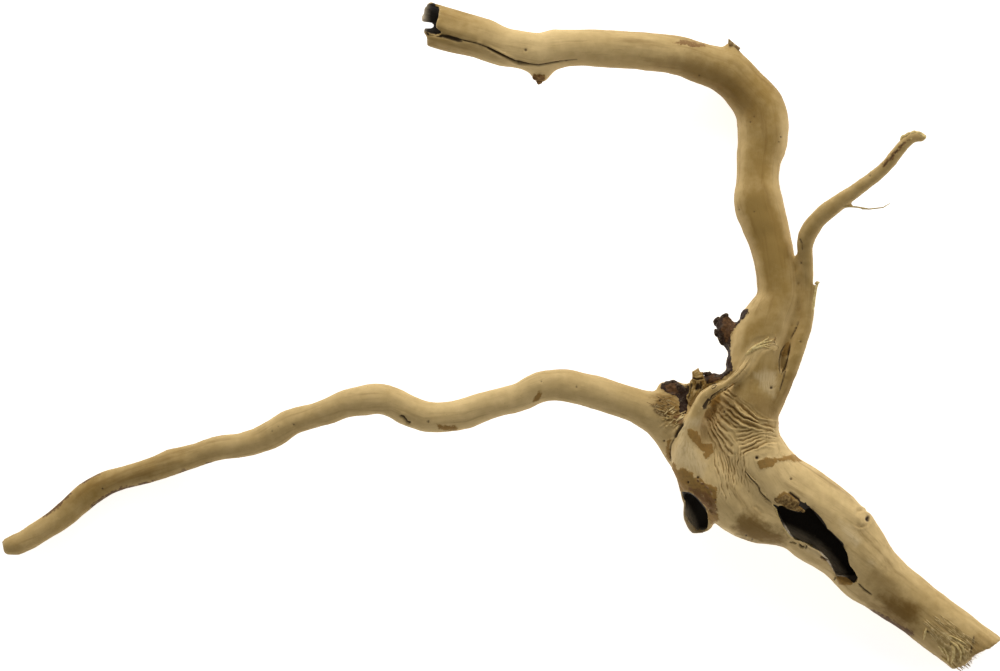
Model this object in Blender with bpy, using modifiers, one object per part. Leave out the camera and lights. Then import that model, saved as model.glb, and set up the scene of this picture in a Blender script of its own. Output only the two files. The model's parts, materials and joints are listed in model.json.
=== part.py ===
# A piece of pale, barkless driftwood: the hollow root crown of a shrub, lying on its side.
# A stout broken trunk runs to the lower right, one long limb arches over the top, one thin limb
# reaches far to the left, and a twig follows the arching limb before it leaves to the right.
# It grew as one piece, so it is one solid: the limbs are swept tubes that are fused, weathered
# and then hollowed. +X runs along the piece, +Y across it, +Z up from the ground.
import math

import bmesh
import bpy
import numpy as np
from mathutils import Vector

MM = 0.001

NODE_NAME = "driftwood"
DETAIL_GROUP = "detail"
WOOD_COLOR = (0.50, 0.38, 0.20, 1.0)
WOOD_ROUGHNESS = 0.72

# Driving dimensions, in millimetres.
WELD_DISTANCE = 0.02
FUSE_VOXEL = 1.0
FUSE_PASSES = 6
FUSE_STRENGTH = 0.5
SWELL_HEIGHT = 0.9
SWELL_SIZE = 9.0
SWELL_OCTAVES = 2
FOLD_DEPTH = 1.1
FOLD_WIDTH = 0.9
CREASE_DEPTH = 0.5
CROWN_CENTRE = (94.0, -42.0)
CROWN_REACH = 34.0
CROWN_EDGE = 11.0
TARGET_TRIANGLES = 9900
CROWN_PRIORITY = 0.0015
LIMB_STEPS = 5
LIMB_ROUNDNESS = 5
ROOM_STEPS = 3
ROOM_ROUNDNESS = 3
FIBRE_STEPS = 2
FIBRE_ROUNDNESS = 1
MOUTH_TOP = 70.0
GROUND_DEPTH = 60.0
GROUND_SPAN = 600.0
SHARP_ANGLE = 50.0

# Every limb is a list of stations along its middle: x, y, z and the radius there, in millimetres.
# The crown is flattened, so two strands run side by side through it and meet in the trunk.
CROWN_RIGHT = [
    (92, -33, 27, 11.5),
    (98.8, -45.4, 27, 14),
    (108, -57.4, 26, 14.2),
    (123, -68, 23, 14.2),
    (133, -77, 19, 15.2),
]
CROWN_LEFT = [
    (76, -42, 25, 10),
    (84, -52, 25, 12.6),
    (91, -61, 25, 14),
    (99.6, -69.4, 24, 12.4),
    (118.5, -72.4, 22, 13.6),
    (129.6, -78.4, 18.5, 15),
]
TRUNK = [
    (121, -70.4, 22, 15),
    (131, -77.2, 18.4, 16.4),
    (139, -84, 16, 15),
    (147.2, -93.6, 13.6, 13.4),
    (155.4, -100.6, 11.4, 11.9),
    (164.8, -107.4, 10.2, 11.1),
    (174.6, -115, 9.8, 11),
    (185, -122.6, 9.6, 10.9),
    (197, -132, 9.8, 10.8),
]
ARCH_LIMB = [
    (98, -38, 27, 13.6),
    (99.6, -22, 28, 11.4),
    (101.6, -10, 28.5, 10.5),
    (103.5, -2, 28, 10.8),
    (107, 7, 27, 10),
    (110.8, 14, 26, 8.7),
    (110.8, 22, 25, 8.3),
    (109.8, 30, 24, 8.4),
    (107.9, 38, 22, 8.8),
    (105.3, 46, 20.5, 9.6),
    (103.2, 54, 18.5, 10.1),
    (103.2, 62, 16, 8.8),
    (103.7, 70, 13.5, 9.1),
    (105.3, 78, 11.2, 10.3),
    (104.5, 90, 9.4, 10.3),
    (97.2, 100.1, 9.8, 9.2),
    (91, 105.7, 11.5, 9.1),
    (81.5, 108.9, 14.5, 8.4),
    (72, 112, 17.5, 8),
    (56, 113.8, 22, 7.8),
    (40, 114.6, 25, 7.7),
    (30.5, 115, 26.5, 7.4),
    (23, 114.4, 27, 8),
    (16, 112.8, 27, 8.3),
    (8.5, 114.2, 27, 7.8),
    (0.5, 115.6, 26.5, 8),
    (-7, 118.6, 26, 8.4),
    (-15, 120.6, 25, 8.6),
    (-23, 122.8, 24, 8.9),
    (-34, 126.7, 23, 8.5),
]
LONG_LIMB = [
    (78, -42, 26, 10),
    (65, -32, 27, 9),
    (56.2, -28.6, 28, 7.5),
    (48, -25.9, 28.5, 6.9),
    (40, -23.3, 29, 6.9),
    (31, -20.9, 29.5, 6.7),
    (22, -19.6, 29.5, 6.5),
    (14.2, -21.4, 28.5, 6.2),
    (7.5, -24.8, 26.5, 5.8),
    (0, -26.7, 24.5, 5.8),
    (-7, -28.7, 22.5, 6),
    (-13.5, -31.1, 21, 6.5),
    (-20, -32.3, 20, 6.2),
    (-30, -32.4, 19, 6.2),
    (-37, -29.9, 19, 6.3),
    (-43, -26.8, 19.5, 6.4),
    (-49, -25.5, 20, 6.4),
    (-55, -26.1, 20, 6.2),
    (-62, -27.6, 19.5, 5.7),
    (-69, -30.6, 18.5, 5.4),
    (-76, -32.6, 17, 5.3),
    (-83, -34.6, 15.5, 5.6),
    (-89, -38.4, 14, 5.7),
    (-95, -41.4, 12.5, 5.3),
    (-104, -44, 11, 5.1),
    (-113, -45, 9.5, 5.1),
    (-121.5, -48, 8, 4.9),
    (-131, -50.6, 6.7, 5.4),
    (-140, -54, 5.9, 5),
    (-149, -56.4, 5, 4.9),
    (-157, -59, 4.4, 5.1),
    (-165, -63.4, 4.3, 5.5),
    (-171, -68.5, 4.4, 5.3),
    (-177.5, -73.9, 5, 5.1),
    (-185, -78.9, 5.8, 4.8),
    (-191, -82.6, 6.6, 4.6),
    (-196, -84.5, 7.2, 4.3),
    (-199.8, -84.6, 7.5, 3.2),
]
TWIG = [
    (103, -33, 30, 7),
    (111.4, -20.6, 31.5, 4.6),
    (116.4, -10.3, 32, 3.6),
    (119.3, -3, 31, 3.4),
    (122, 6, 29, 3.3),
    (122.3, 14, 28, 3.2),
    (122.4, 22, 28, 3.1),
    (122, 30, 29.5, 3.2),
    (121.7, 37.5, 32, 3.6),
    (125, 44.3, 34.5, 3.9),
    (132.9, 51.7, 38, 3.5),
    (140, 56.7, 40, 3),
    (145.8, 61, 42, 2.9),
    (151.9, 65.9, 44, 2.6),
    (156.9, 71.6, 46, 2.6),
    (161.2, 76.8, 47, 2.7),
    (164.6, 79, 47.5, 2.4),
    (169.2, 78.2, 47.5, 1.9),
]
# The long limb's root runs on down the left side of the crown and ends in a hollow lobe.
LEFT_ROOT = [
    (56.2, -28.6, 28, 7.4),
    (65, -33.4, 27, 8.2),
    (72, -42.8, 26, 8.4),
    (78.3, -54, 24, 8.4),
    (81.4, -65, 21, 8.8),
    (80, -73, 17.5, 6.9),
    (80.2, -77.2, 15, 5),
]
# A pale swelling in front of the crown, which narrows upwards into a strap-like root.
SWELLING = [
    (82, -62, 30, 6.6),
    (77, -54, 32, 7.4),
    (75, -46, 34, 6.4),
    (75.6, -38.5, 36, 4.4),
]
STRAP_ROOT = [
    (75.4, -42, 35.5, 4),
    (76, -36.5, 36.6, 3.8),
    (78.4, -30.5, 37.8, 3.4),
    (81.2, -25, 39, 3),
    (85.2, -21.6, 39.8, 2.8),
    (89.6, -19.6, 40.2, 2.4),
    (93.2, -16.6, 40.4, 2.3),
    (96.4, -13.4, 40.4, 2.1),
    (98.8, -10, 40.4, 1.9),
    (100.6, -6.2, 40.3, 1.6),
    (103.2, -4.4, 40, 1.6),
    (106.4, -3.4, 39.4, 1.5),
    (109, -3, 38.6, 1.1),
]
# Flesh that closes the back of the crotch and of the slot beside the twig.
BACKING = [
    [(108, -26, 24, 4.6), (113.4, -14, 23.5, 4.6), (115.5, -2, 23, 4), (116.5, 9, 24, 3.4)],
    [(70, -37, 20, 6.5), (80, -33, 20, 7.4), (88, -28, 20, 7)],
]
# Broken bark and stubs left in the crotch between the arching limb and the long limb.
BARK_LUMPS = [
    [(63.2, -21.6, 24, 2.6), (69.2, -21.4, 25, 3.6), (73.6, -24, 26, 3.6), (76, -31, 27, 3.4)],
    [(78.5, -27, 29, 3.2), (78.8, -20, 31, 2.8), (78.8, -13.6, 32, 2.4)],
    [(75.4, -27, 28, 2.6), (74.6, -19.4, 29, 2)],
    [(79, -23, 25, 4.6), (85, -18.6, 25, 3.6), (91, -18.6, 26, 3)],
    [(96, -14, 26, 3.6), (94.6, -8, 25, 3.2), (92.2, -2, 24, 3.4), (88.8, 2.6, 23, 4)],
    [(88.8, 2.6, 23, 3.4), (90.2, 8.2, 22, 2.4)],
    [(93, 0, 24, 3), (95.4, 4.2, 25, 2), (97.8, 7.6, 25, 1.6)],
]
# Small grown details: a spur on the bend, a burl with a stub under the arch, a trunk knot.
GROWN_DETAILS = [
    [(95, 107.5, 12, 4.8), (93, 113.6, 12, 3.2), (91.8, 118, 12, 1.6)],
    [(17, 109.6, 26, 5.4), (16.4, 105.4, 25, 4.8), (15.6, 101.6, 24.5, 2.6)],
    [(142.6, -79, 20.4, 4.6), (146, -74.4, 24, 3.8)],
]
# Loose fibres: a thin hair off the twig, a sliver along it, and the strap's torn tips.
FIBRES = [
    [(134.5, 51.8, 38, 0.9), (137.4, 51.6, 38, 0.7), (146.7, 50.2, 38, 0.5), (155.5, 52.6, 38.5, 0.4)],
    [(122.8, 9, 29.5, 1.3), (125, 16, 30, 0.8), (126.4, 21.4, 30.5, 0.5)],
    [(107, -3, 39.4, 1), (110, -1.2, 39.2, 0.7), (109.4, 0.8, 39, 0.4)],
    [(107, -3, 39.4, 1), (110.8, -3.6, 38.4, 0.7), (109.8, -6.2, 38, 0.4)],
]
# The creases that fan out across the crown where limb, twig and trunk grow into each other.
FOLDS = [
    [(90.5, -22), (94.5, -26.5), (100.5, -31), (104.5, -33.5), (111.5, -34)],
    [(88.5, -26.5), (94, -30.5), (96.5, -33), (101, -34.5), (108, -36)],
    [(95.5, -37.5), (100, -36), (111, -36.8)],
    [(93.5, -39.5), (99, -38.8), (107, -37.5)],
    [(94.5, -42.5), (98, -41), (102.8, -40)],
    [(96.8, -46.5), (100, -44.6), (104, -42), (109.6, -40.8)],
    [(85, -32.5), (87, -38.2)],
    [(88, -31), (94.4, -37.4)],
]
# Shallower creases that run down the crown from the folds to the hollow trunk.
CREASES = [
    [(86.5, -46), (88, -52), (87, -58), (89, -66)],
    [(90, -47), (91, -54), (90.5, -60), (93, -69)],
    [(94, -50), (94.6, -57), (95.5, -63), (98, -71)],
    [(97.8, -53), (99.2, -55.8), (103.2, -61), (108.4, -66.8)],
]

# Hollows: the tube-like rooms inside the wood, as stations again.
TRUNK_ROOM = [
    (110, -66.5, 25.5, 5),
    (115, -71, 25, 8),
    (122, -76, 22.5, 9.8),
    (132, -84, 18.5, 9),
    (140, -91.4, 15.5, 7.2),
    (146, -97.6, 13.5, 4),
]
LOBE_ROOM = [
    (82.8, -60.6, 25.4, 3.6),
    (81, -66.2, 23.6, 5.6),
    (79.6, -71.3, 20.6, 5.1),
    (80, -75.2, 18.3, 3.7),
    (80.3, -77.2, 17.5, 2.1),
]
TIP_ROOM = [
    (-44, 131, 22.2, 6.6),
    (-26, 124.2, 23.8, 6.4),
    (-14, 120.6, 25, 5),
    (-4, 118, 26, 3),
]

# Mouths: outlines seen from above, x and y in millimetres, cut straight up from their own level.
TRUNK_MOUTH = [
    (108.6, -67),
    (112.4, -67.6),
    (115.6, -69.6),
    (119.6, -70.6),
    (121.6, -69.6),
    (122.4, -68.2),
    (123.6, -68.2),
    (127.6, -73.4),
    (130.4, -76.6),
    (133.6, -79.8),
    (136.8, -83.4),
    (138.8, -87.8),
    (139.2, -91.2),
    (142, -94.6),
    (143.2, -97.8),
    (142.4, -99),
    (139.2, -98.6),
    (134.8, -96.8),
    (133.6, -93.8),
    (131.2, -89.4),
    (128.4, -86.6),
    (124.6, -84.6),
    (120.8, -82.2),
    (117.2, -81),
    (113.4, -75),
    (110.6, -69.8),
]
LOBE_MOUTH = [
    (73.6, -63.2),
    (74.8, -62.4),
    (77.6, -64),
    (79.6, -66.4),
    (82.4, -70.2),
    (83, -75),
    (82.6, -77.8),
    (81.2, -79),
    (79.6, -78.8),
    (77.8, -76.8),
    (75.8, -73.4),
    (74.4, -68),
]
SLOT_MOUTH = [
    (114.8, -3),
    (116, -5.4),
    (114.8, -9),
    (114, -13.4),
    (112.4, -16),
    (111.6, -12.2),
    (111.6, -8.2),
    (113.2, -5),
]
# The near half of the arching limb's tip is broken back, and a split runs on from it.
TIP_BREAK = [
    (-25.4, 140),
    (-25.8, 134),
    (-24.6, 130),
    (-25, 126),
    (-26, 122.6),
    (-21, 120.4),
    (-14, 118.6),
    (-9, 117.2),
    (-3, 114.6),
    (5, 110.6),
    (5, 110),
    (-3, 113.4),
    (-9, 116.2),
    (-14.4, 117.4),
    (-21.6, 118.8),
    (-27, 120.8),
    (-34, 121.6),
    (-46, 124),
    (-46, 140),
]
# What lies beyond each broken end is cut away all through.
TIP_END = [
    (-28.6, 138),
    (-28, 133.6),
    (-30, 131.6),
    (-31.8, 126),
    (-26.4, 124.8),
    (-25.6, 123),
    (-30.8, 123),
    (-30.8, 121.8),
    (-29, 119.4),
    (-29, 113),
    (-60, 113),
    (-60, 138),
]
TRUNK_END = [
    (204, -121),
    (200.4, -122.4),
    (196, -125.2),
    (191.2, -127),
    (188.2, -129.4),
    (186, -132),
    (184.2, -132),
    (182.6, -134),
    (180, -132.2),
    (178.6, -134.8),
    (176.6, -140),
    (207, -147),
    (215, -127),
]
MOUTH_LEVELS = {
    "trunk_mouth": (TRUNK_MOUTH, 20.0),
    "lobe_mouth": (LOBE_MOUTH, 19.0),
    "slot_mouth": (SLOT_MOUTH, 21.5),
    "tip_break": (TIP_BREAK, 24.0),
    "tip_end": (TIP_END, -GROUND_DEPTH),
    "trunk_end": (TRUNK_END, -GROUND_DEPTH),
}
ROOMS = {"trunk_room": TRUNK_ROOM, "lobe_room": LOBE_ROOM, "tip_room": TIP_ROOM}
LIMBS = [CROWN_RIGHT, CROWN_LEFT, TRUNK, ARCH_LIMB, LONG_LIMB, TWIG, LEFT_ROOT, SWELLING, STRAP_ROOT]


def clear_scene():
    """Removes everything that the file opened with."""
    for obj in list(bpy.data.objects):
        bpy.data.objects.remove(obj, do_unlink=True)


def new_collection(name, parent=None):
    """Makes a collection and links it under the scene or another collection."""
    collection = bpy.data.collections.new(name)
    (parent or bpy.context.scene.collection).children.link(collection)
    return collection


def swept_tube(name, stations, collection, steps, roundness):
    """A smooth closed tube through the stations, as a mesh object in metres."""
    curve = bpy.data.curves.new(name, "CURVE")
    curve.dimensions = "3D"
    curve.resolution_u = steps
    curve.bevel_depth = MM
    curve.bevel_resolution = roundness
    curve.use_fill_caps = True
    spline = curve.splines.new("BEZIER")
    spline.bezier_points.add(len(stations) - 1)
    for point, (x, y, z, radius) in zip(spline.bezier_points, stations):
        point.co = Vector((x, y, z)) * MM
        point.radius = radius
        point.handle_left_type = "AUTO"
        point.handle_right_type = "AUTO"
    spline.radius_interpolation = "CARDINAL"
    return mesh_from_curve(name, curve, collection)


def prism(name, outline, low, high, collection):
    """An upright prism over an outline, from one level to another, as a mesh object in metres."""
    curve = bpy.data.curves.new(name, "CURVE")
    curve.dimensions = "2D"
    curve.fill_mode = "BOTH"
    curve.extrude = (high - low) / 2 * MM
    spline = curve.splines.new("POLY")
    spline.points.add(len(outline) - 1)
    for point, (x, y) in zip(spline.points, outline):
        point.co = (x * MM, y * MM, 0.0, 1.0)
    spline.use_cyclic_u = True
    made = mesh_from_curve(name, curve, collection)
    made.location.z = (high + low) / 2 * MM
    return made


def mesh_from_curve(name, curve, collection):
    """Turns a curve into a welded mesh object with its faces pointing out."""
    guide = bpy.data.objects.new(name + "_guide", curve)
    collection.objects.link(guide)
    bpy.context.view_layer.update()
    graph = bpy.context.evaluated_depsgraph_get()
    mesh = bpy.data.meshes.new_from_object(guide.evaluated_get(graph))
    mesh.name = name
    made = bpy.data.objects.new(name, mesh)
    made.matrix_world = guide.matrix_world
    collection.objects.link(made)
    bpy.data.objects.remove(guide)
    bpy.data.curves.remove(curve)
    work = bmesh.new()
    work.from_mesh(mesh)
    bmesh.ops.remove_doubles(work, verts=work.verts, dist=WELD_DISTANCE * MM)
    bmesh.ops.recalc_face_normals(work, faces=work.faces)
    work.to_mesh(mesh)
    work.free()
    return made


def as_helper(obj):
    """Keeps a cutter out of renders."""
    obj.hide_render = True
    obj.display_type = "WIRE"
    return obj


def joined(name, parts, collection):
    """One object that holds the meshes of all the parts, which may overlap."""
    work = bmesh.new()
    for part in parts:
        work.from_mesh(part.data)
        bpy.data.objects.remove(part)
    mesh = bpy.data.meshes.new(name)
    work.to_mesh(mesh)
    work.free()
    made = bpy.data.objects.new(name, mesh)
    collection.objects.link(made)
    return made


def apply_modifiers(obj):
    """Bakes the object's modifiers into its mesh."""
    bpy.context.view_layer.update()
    graph = bpy.context.evaluated_depsgraph_get()
    mesh = bpy.data.meshes.new_from_object(obj.evaluated_get(graph))
    obj.modifiers.clear()
    obj.data = mesh


def fuse(obj):
    """Melts overlapping tubes into one skin and eases the creases between them."""
    remesh = obj.modifiers.new("fuse", "REMESH")
    remesh.mode = "VOXEL"
    remesh.voxel_size = FUSE_VOXEL * MM
    ease = obj.modifiers.new("ease", "SMOOTH")
    ease.factor = FUSE_STRENGTH
    ease.iterations = FUSE_PASSES
    apply_modifiers(obj)


def weather(obj):
    """Gives the limbs the slow swells and flats that a lathe-like tube lacks."""
    texture = bpy.data.textures.new("swells", "CLOUDS")
    texture.noise_scale = SWELL_SIZE * MM
    texture.noise_depth = SWELL_OCTAVES
    swell = obj.modifiers.new("swell", "DISPLACE")
    swell.texture = texture
    swell.texture_coords = "LOCAL"
    swell.strength = SWELL_HEIGHT * MM
    swell.mid_level = 0.5
    apply_modifiers(obj)


def groove(points, lines, depth):
    """How deep each plan point lies in round-bottomed grooves that follow the lines."""
    deepest = np.zeros(len(points))
    for line in lines:
        for start, end in zip(line[:-1], line[1:]):
            start = np.array(start)
            along = np.array(end) - start
            share = np.clip((points - start) @ along / (along @ along), 0.0, 1.0)
            away = np.linalg.norm(points - start - share[:, None] * along, axis=1)
            deepest = np.maximum(deepest, depth * np.exp(-((away / FOLD_WIDTH) ** 2)))
    return deepest


def fold_crown(obj):
    """Presses the folds of the crown into its upper side and marks where they need fine faces."""
    count = len(obj.data.vertices)
    places = np.empty(count * 3)
    obj.data.vertices.foreach_get("co", places)
    places = places.reshape(count, 3) / MM
    normals = np.empty(count * 3)
    obj.data.vertices.foreach_get("normal", normals)
    upward = np.clip(normals.reshape(count, 3)[:, 2], 0.0, 1.0)
    plan = places[:, :2]
    sunk = np.maximum(groove(plan, FOLDS, FOLD_DEPTH), groove(plan, CREASES, CREASE_DEPTH))
    places[:, 2] -= sunk * upward
    reach = np.linalg.norm(plan - np.array(CROWN_CENTRE), axis=1)
    inside = np.clip((CROWN_REACH - reach) / (CROWN_REACH - CROWN_EDGE), 0.0, 1.0)
    share = inside * np.clip(upward + upward, 0.0, 1.0)
    obj.data.vertices.foreach_set("co", (places * MM).ravel())
    detail = obj.vertex_groups.new(name=DETAIL_GROUP)
    for index in np.flatnonzero(share > 0.0):
        detail.add([int(index)], float(share[index]), "REPLACE")


def lighten(obj):
    """Reduces the skin to the triangles that its shape needs, with more of them on the crown."""
    obj.data.calc_loop_triangles()
    whole = len(obj.data.loop_triangles)
    reduce = obj.modifiers.new("reduce", "DECIMATE")
    reduce.ratio = min(1.0, TARGET_TRIANGLES / whole)
    reduce.vertex_group = DETAIL_GROUP
    reduce.vertex_group_factor = CROWN_PRIORITY
    reduce.invert_vertex_group = True
    reduce.use_collapse_triangulate = True
    apply_modifiers(obj)
    obj.vertex_groups.clear()


def cut(obj, cutter):
    """Takes the cutter's shape out of the object."""
    modifier = obj.modifiers.new("cut_" + cutter.name, "BOOLEAN")
    modifier.operation = "DIFFERENCE"
    modifier.solver = "EXACT"
    modifier.object = cutter
    apply_modifiers(obj)


def grow(obj, addition):
    """Joins another closed shape to the object."""
    modifier = obj.modifiers.new("grow_" + addition.name, "BOOLEAN")
    modifier.operation = "UNION"
    modifier.solver = "EXACT"
    modifier.object = addition
    apply_modifiers(obj)


def keep_largest_body(obj):
    """Drops loose scraps that the cuts left behind."""
    work = bmesh.new()
    work.from_mesh(obj.data)
    unseen = set(work.verts)
    bodies = []
    while unseen:
        stack = [unseen.pop()]
        body = set(stack)
        while stack:
            for edge in stack.pop().link_edges:
                for vert in edge.verts:
                    if vert in unseen:
                        unseen.discard(vert)
                        body.add(vert)
                        stack.append(vert)
        bodies.append(body)
    largest = max(bodies, key=len)
    scraps = [vert for body in bodies if body is not largest for vert in body]
    bmesh.ops.delete(work, geom=scraps, context="VERTS")
    bmesh.ops.triangulate(work, faces=work.faces)
    work.to_mesh(obj.data)
    work.free()


def ground(collection):
    """The ground under the piece, which wears a small flat at each of its low points."""
    half = GROUND_SPAN / 2
    square = [(-half, -half), (half, -half), (half, half), (-half, half)]
    return as_helper(prism("ground", square, -GROUND_DEPTH, 0.0, collection))


def wood_material():
    """Pale, dull, sun-dried wood."""
    material = bpy.data.materials.new("weathered_wood")
    material.use_nodes = True
    shader = material.node_tree.nodes["Principled BSDF"]
    shader.inputs["Base Color"].default_value = WOOD_COLOR
    shader.inputs["Roughness"].default_value = WOOD_ROUGHNESS
    shader.inputs["Metallic"].default_value = 0.0
    return material


def build():
    """Fuses the limbs, weathers and hollows them, and seats the piece on the ground."""
    clear_scene()
    model = new_collection("driftwood_piece")
    cutters = new_collection("cutters", model)
    grown = LIMBS + BACKING + BARK_LUMPS + GROWN_DETAILS
    tubes = [
        swept_tube(f"tube_{index}", stations, model, LIMB_STEPS, LIMB_ROUNDNESS)
        for index, stations in enumerate(grown)
    ]
    wood = joined(NODE_NAME, tubes, model)
    fuse(wood)
    weather(wood)
    fold_crown(wood)
    lighten(wood)
    for index, stations in enumerate(FIBRES):
        fibre = swept_tube(f"fibre_{index}", stations, model, FIBRE_STEPS, FIBRE_ROUNDNESS)
        grow(wood, fibre)
        bpy.data.objects.remove(fibre)
    for name, (outline, level) in MOUTH_LEVELS.items():
        cut(wood, as_helper(prism(name, outline, level, MOUTH_TOP, cutters)))
    for name, stations in ROOMS.items():
        room = swept_tube(name, stations, cutters, ROOM_STEPS, ROOM_ROUNDNESS)
        cut(wood, as_helper(room))
    cut(wood, ground(cutters))
    keep_largest_body(wood)
    wood.data.materials.clear()
    wood.data.materials.append(wood_material())
    wood.data.shade_smooth()
    wood.data.set_sharp_from_angle(angle=math.radians(SHARP_ANGLE))


build()
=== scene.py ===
"""A piece of pale driftwood on a white table, seen straight from above.

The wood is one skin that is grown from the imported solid. Loose bark, splinters and fibres lie on
it as small pieces of their own. A place that the camera sees is named in picture coordinates
(1000 wide, 671 high, y down) and is carried onto the wood by the camera's own projection.
"""

import itertools
import json
import logging
import math
from dataclasses import dataclass, field
from enum import Enum

import bmesh
import bpy
import numpy as np
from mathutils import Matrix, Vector
from mathutils.bvhtree import BVHTree

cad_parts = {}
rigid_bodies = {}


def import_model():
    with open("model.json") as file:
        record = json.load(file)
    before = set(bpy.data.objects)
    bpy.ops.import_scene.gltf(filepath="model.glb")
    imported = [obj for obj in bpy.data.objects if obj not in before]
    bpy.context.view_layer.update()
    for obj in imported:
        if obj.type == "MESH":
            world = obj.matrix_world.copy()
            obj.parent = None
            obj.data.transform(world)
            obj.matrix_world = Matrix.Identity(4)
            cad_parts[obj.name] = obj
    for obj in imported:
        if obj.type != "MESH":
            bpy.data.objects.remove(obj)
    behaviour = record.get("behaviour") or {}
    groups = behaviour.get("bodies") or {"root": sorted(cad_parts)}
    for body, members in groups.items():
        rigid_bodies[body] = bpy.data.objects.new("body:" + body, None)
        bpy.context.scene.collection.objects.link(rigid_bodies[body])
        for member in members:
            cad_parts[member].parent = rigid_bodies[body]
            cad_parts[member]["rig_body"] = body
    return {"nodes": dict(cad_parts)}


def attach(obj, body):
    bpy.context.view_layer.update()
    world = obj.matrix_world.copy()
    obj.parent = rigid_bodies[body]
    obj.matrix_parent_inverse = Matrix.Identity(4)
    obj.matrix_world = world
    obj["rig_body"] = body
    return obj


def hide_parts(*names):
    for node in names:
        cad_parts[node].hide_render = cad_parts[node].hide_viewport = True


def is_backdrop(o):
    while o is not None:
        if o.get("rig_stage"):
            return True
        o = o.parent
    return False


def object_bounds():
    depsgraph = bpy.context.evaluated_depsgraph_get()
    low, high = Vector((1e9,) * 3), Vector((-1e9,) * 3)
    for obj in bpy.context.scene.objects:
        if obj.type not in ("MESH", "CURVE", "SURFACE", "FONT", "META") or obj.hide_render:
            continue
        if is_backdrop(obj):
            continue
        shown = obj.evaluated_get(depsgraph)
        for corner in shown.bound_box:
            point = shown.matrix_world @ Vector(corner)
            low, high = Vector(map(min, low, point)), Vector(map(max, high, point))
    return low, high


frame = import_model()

MM = 0.001
NODE = "driftwood"
BODY = "root"

Array = np.ndarray
Route = list[tuple[float, float]]
Stations = list[tuple[float, float, float, float]]
Colour = tuple[float, float, float, float]

# The middles of the limbs, in millimetres: x, y, z and radius, then how pale the wood is there.
# The grain runs along them.
AXES: dict[str, list[tuple[float, ...]]] = {
    "trunk": [
        (99, -36, 27, 13, 0.75), (98, -52, 26, 16, 1.0), (106, -64, 24, 17, 0.95), (121, -73, 22, 17, 0.85),
        (131, -79, 18, 17, 0.76), (147, -93, 13.6, 13.4, 0.7), (165, -107, 10.2, 11, 0.55), (200, -134, 9.8, 11, 0.42),
    ],
    "arch": [
        (98, -40, 27, 13.6, 0.35), (101.6, -10, 28.5, 10.5, 0.15), (107, 7, 27, 10, 0.12), (110.8, 18, 25, 8.5, 0.0),
        (107.9, 38, 22, 8.8, 0.0), (103.2, 58, 17, 9.5, 0.05), (105.3, 80, 11, 10.3, 0.2), (104, 91, 9.4, 10.3, 0.15),
        (91, 105.7, 11.5, 9.1, 0.2), (72, 112, 17.5, 8, 0.5), (40, 114.6, 25, 7.7, 0.65), (16, 112.8, 27, 8.3, 0.95),
        (0.5, 115.6, 26.5, 8, 0.75), (-15, 120.6, 25, 8.6, 0.3), (-36, 127.5, 23, 8.5, 0.05),
    ],
    "long": [
        (84, -48, 25, 10, 0.7), (65, -32, 27, 9, 0.6), (48, -25.9, 28.5, 6.9, 0.62), (22, -19.6, 29.5, 6.5, 0.75),
        (7.5, -24.8, 26.5, 5.8, 0.85), (-13.5, -31.1, 21, 6.5, 0.9), (-30, -32.4, 19, 6.2, 0.7),
        (-43, -26.8, 19.5, 6.4, 0.65), (-62, -27.6, 19.5, 5.7, 0.68), (-83, -34.6, 15.5, 5.6, 0.6),
        (-95, -41.4, 12.5, 5.3, 0.55), (-121.5, -48, 8, 4.9, 0.4), (-149, -56.4, 5, 4.9, 0.28),
        (-165, -63.4, 4.3, 5.5, 0.2), (-185, -78.9, 5.8, 4.8, 0.5), (-201, -85, 7.5, 3.2, 0.4),
    ],
    "twig": [
        (103, -33, 30, 7, 0.15), (116.4, -10.3, 32, 3.6, 0.2), (122, 6, 29, 3.3, 0.2), (122.4, 22, 28, 3.1, 0.2),
        (121.7, 37.5, 32, 3.6, 0.2), (125, 44.3, 34.5, 3.9, 0.25), (132.9, 51.7, 38, 3.5, 0.3),
        (151.9, 65.9, 44, 2.6, 0.35), (161.2, 76.8, 47, 2.7, 0.35), (170, 78, 47.5, 1.9, 0.35),
    ],
    "strap": [
        (77, -54, 32, 7.4, 1.0), (75, -46, 34, 6.4, 1.0), (76, -36.5, 36.6, 3.8, 0.6), (81.2, -25, 39, 3, 0.35),
        (89.6, -19.6, 40.2, 2.4, 0.3), (96.4, -13.4, 40.4, 2.1, 0.4), (103.2, -4.4, 40, 1.6, 0.7),
        (109, -3, 38.6, 1.1, 0.8),
    ],
    "lobe": [(78.3, -54, 24, 8.4, 0.8), (81.4, -65, 21, 8.8, 0.7), (80, -78, 15, 5, 0.5)],
}
# Painted light: how much paler a limb's sides are painted than its top, as if light from the sides falls on them.
PAINTED_SIDE_LIGHT: dict[str, float] = {"arch": 0.5, "twig": 0.3, "strap": 0.3}
# Wood that closes the gap under the strap-like root, and that makes the slot and the seam
# beside the twig's root shallower: x, y, z and radius.
FILLINGS: list[Stations] = [
    [(80, -30, 26, 4.5), (86, -25, 27, 4.6), (92, -20, 27, 4.2), (97, -14, 27, 3.6)],
    [(114.4, 0, 27, 3.2), (113.8, -4, 28, 3.3), (113.4, -10, 28, 3.3), (112.8, -15, 28, 3.2)],
    [(118.3, 25, 27, 1.8), (118.7, 28.6, 27.5, 1.6), (118.9, 31.2, 28, 1.0)],
    [(119.6, 14, 26.5, 2.2), (118.6, 7, 28, 2.5), (117.2, 2.5, 28.6, 2.8), (115.4, -2, 28.8, 2.8)],
]
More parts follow.
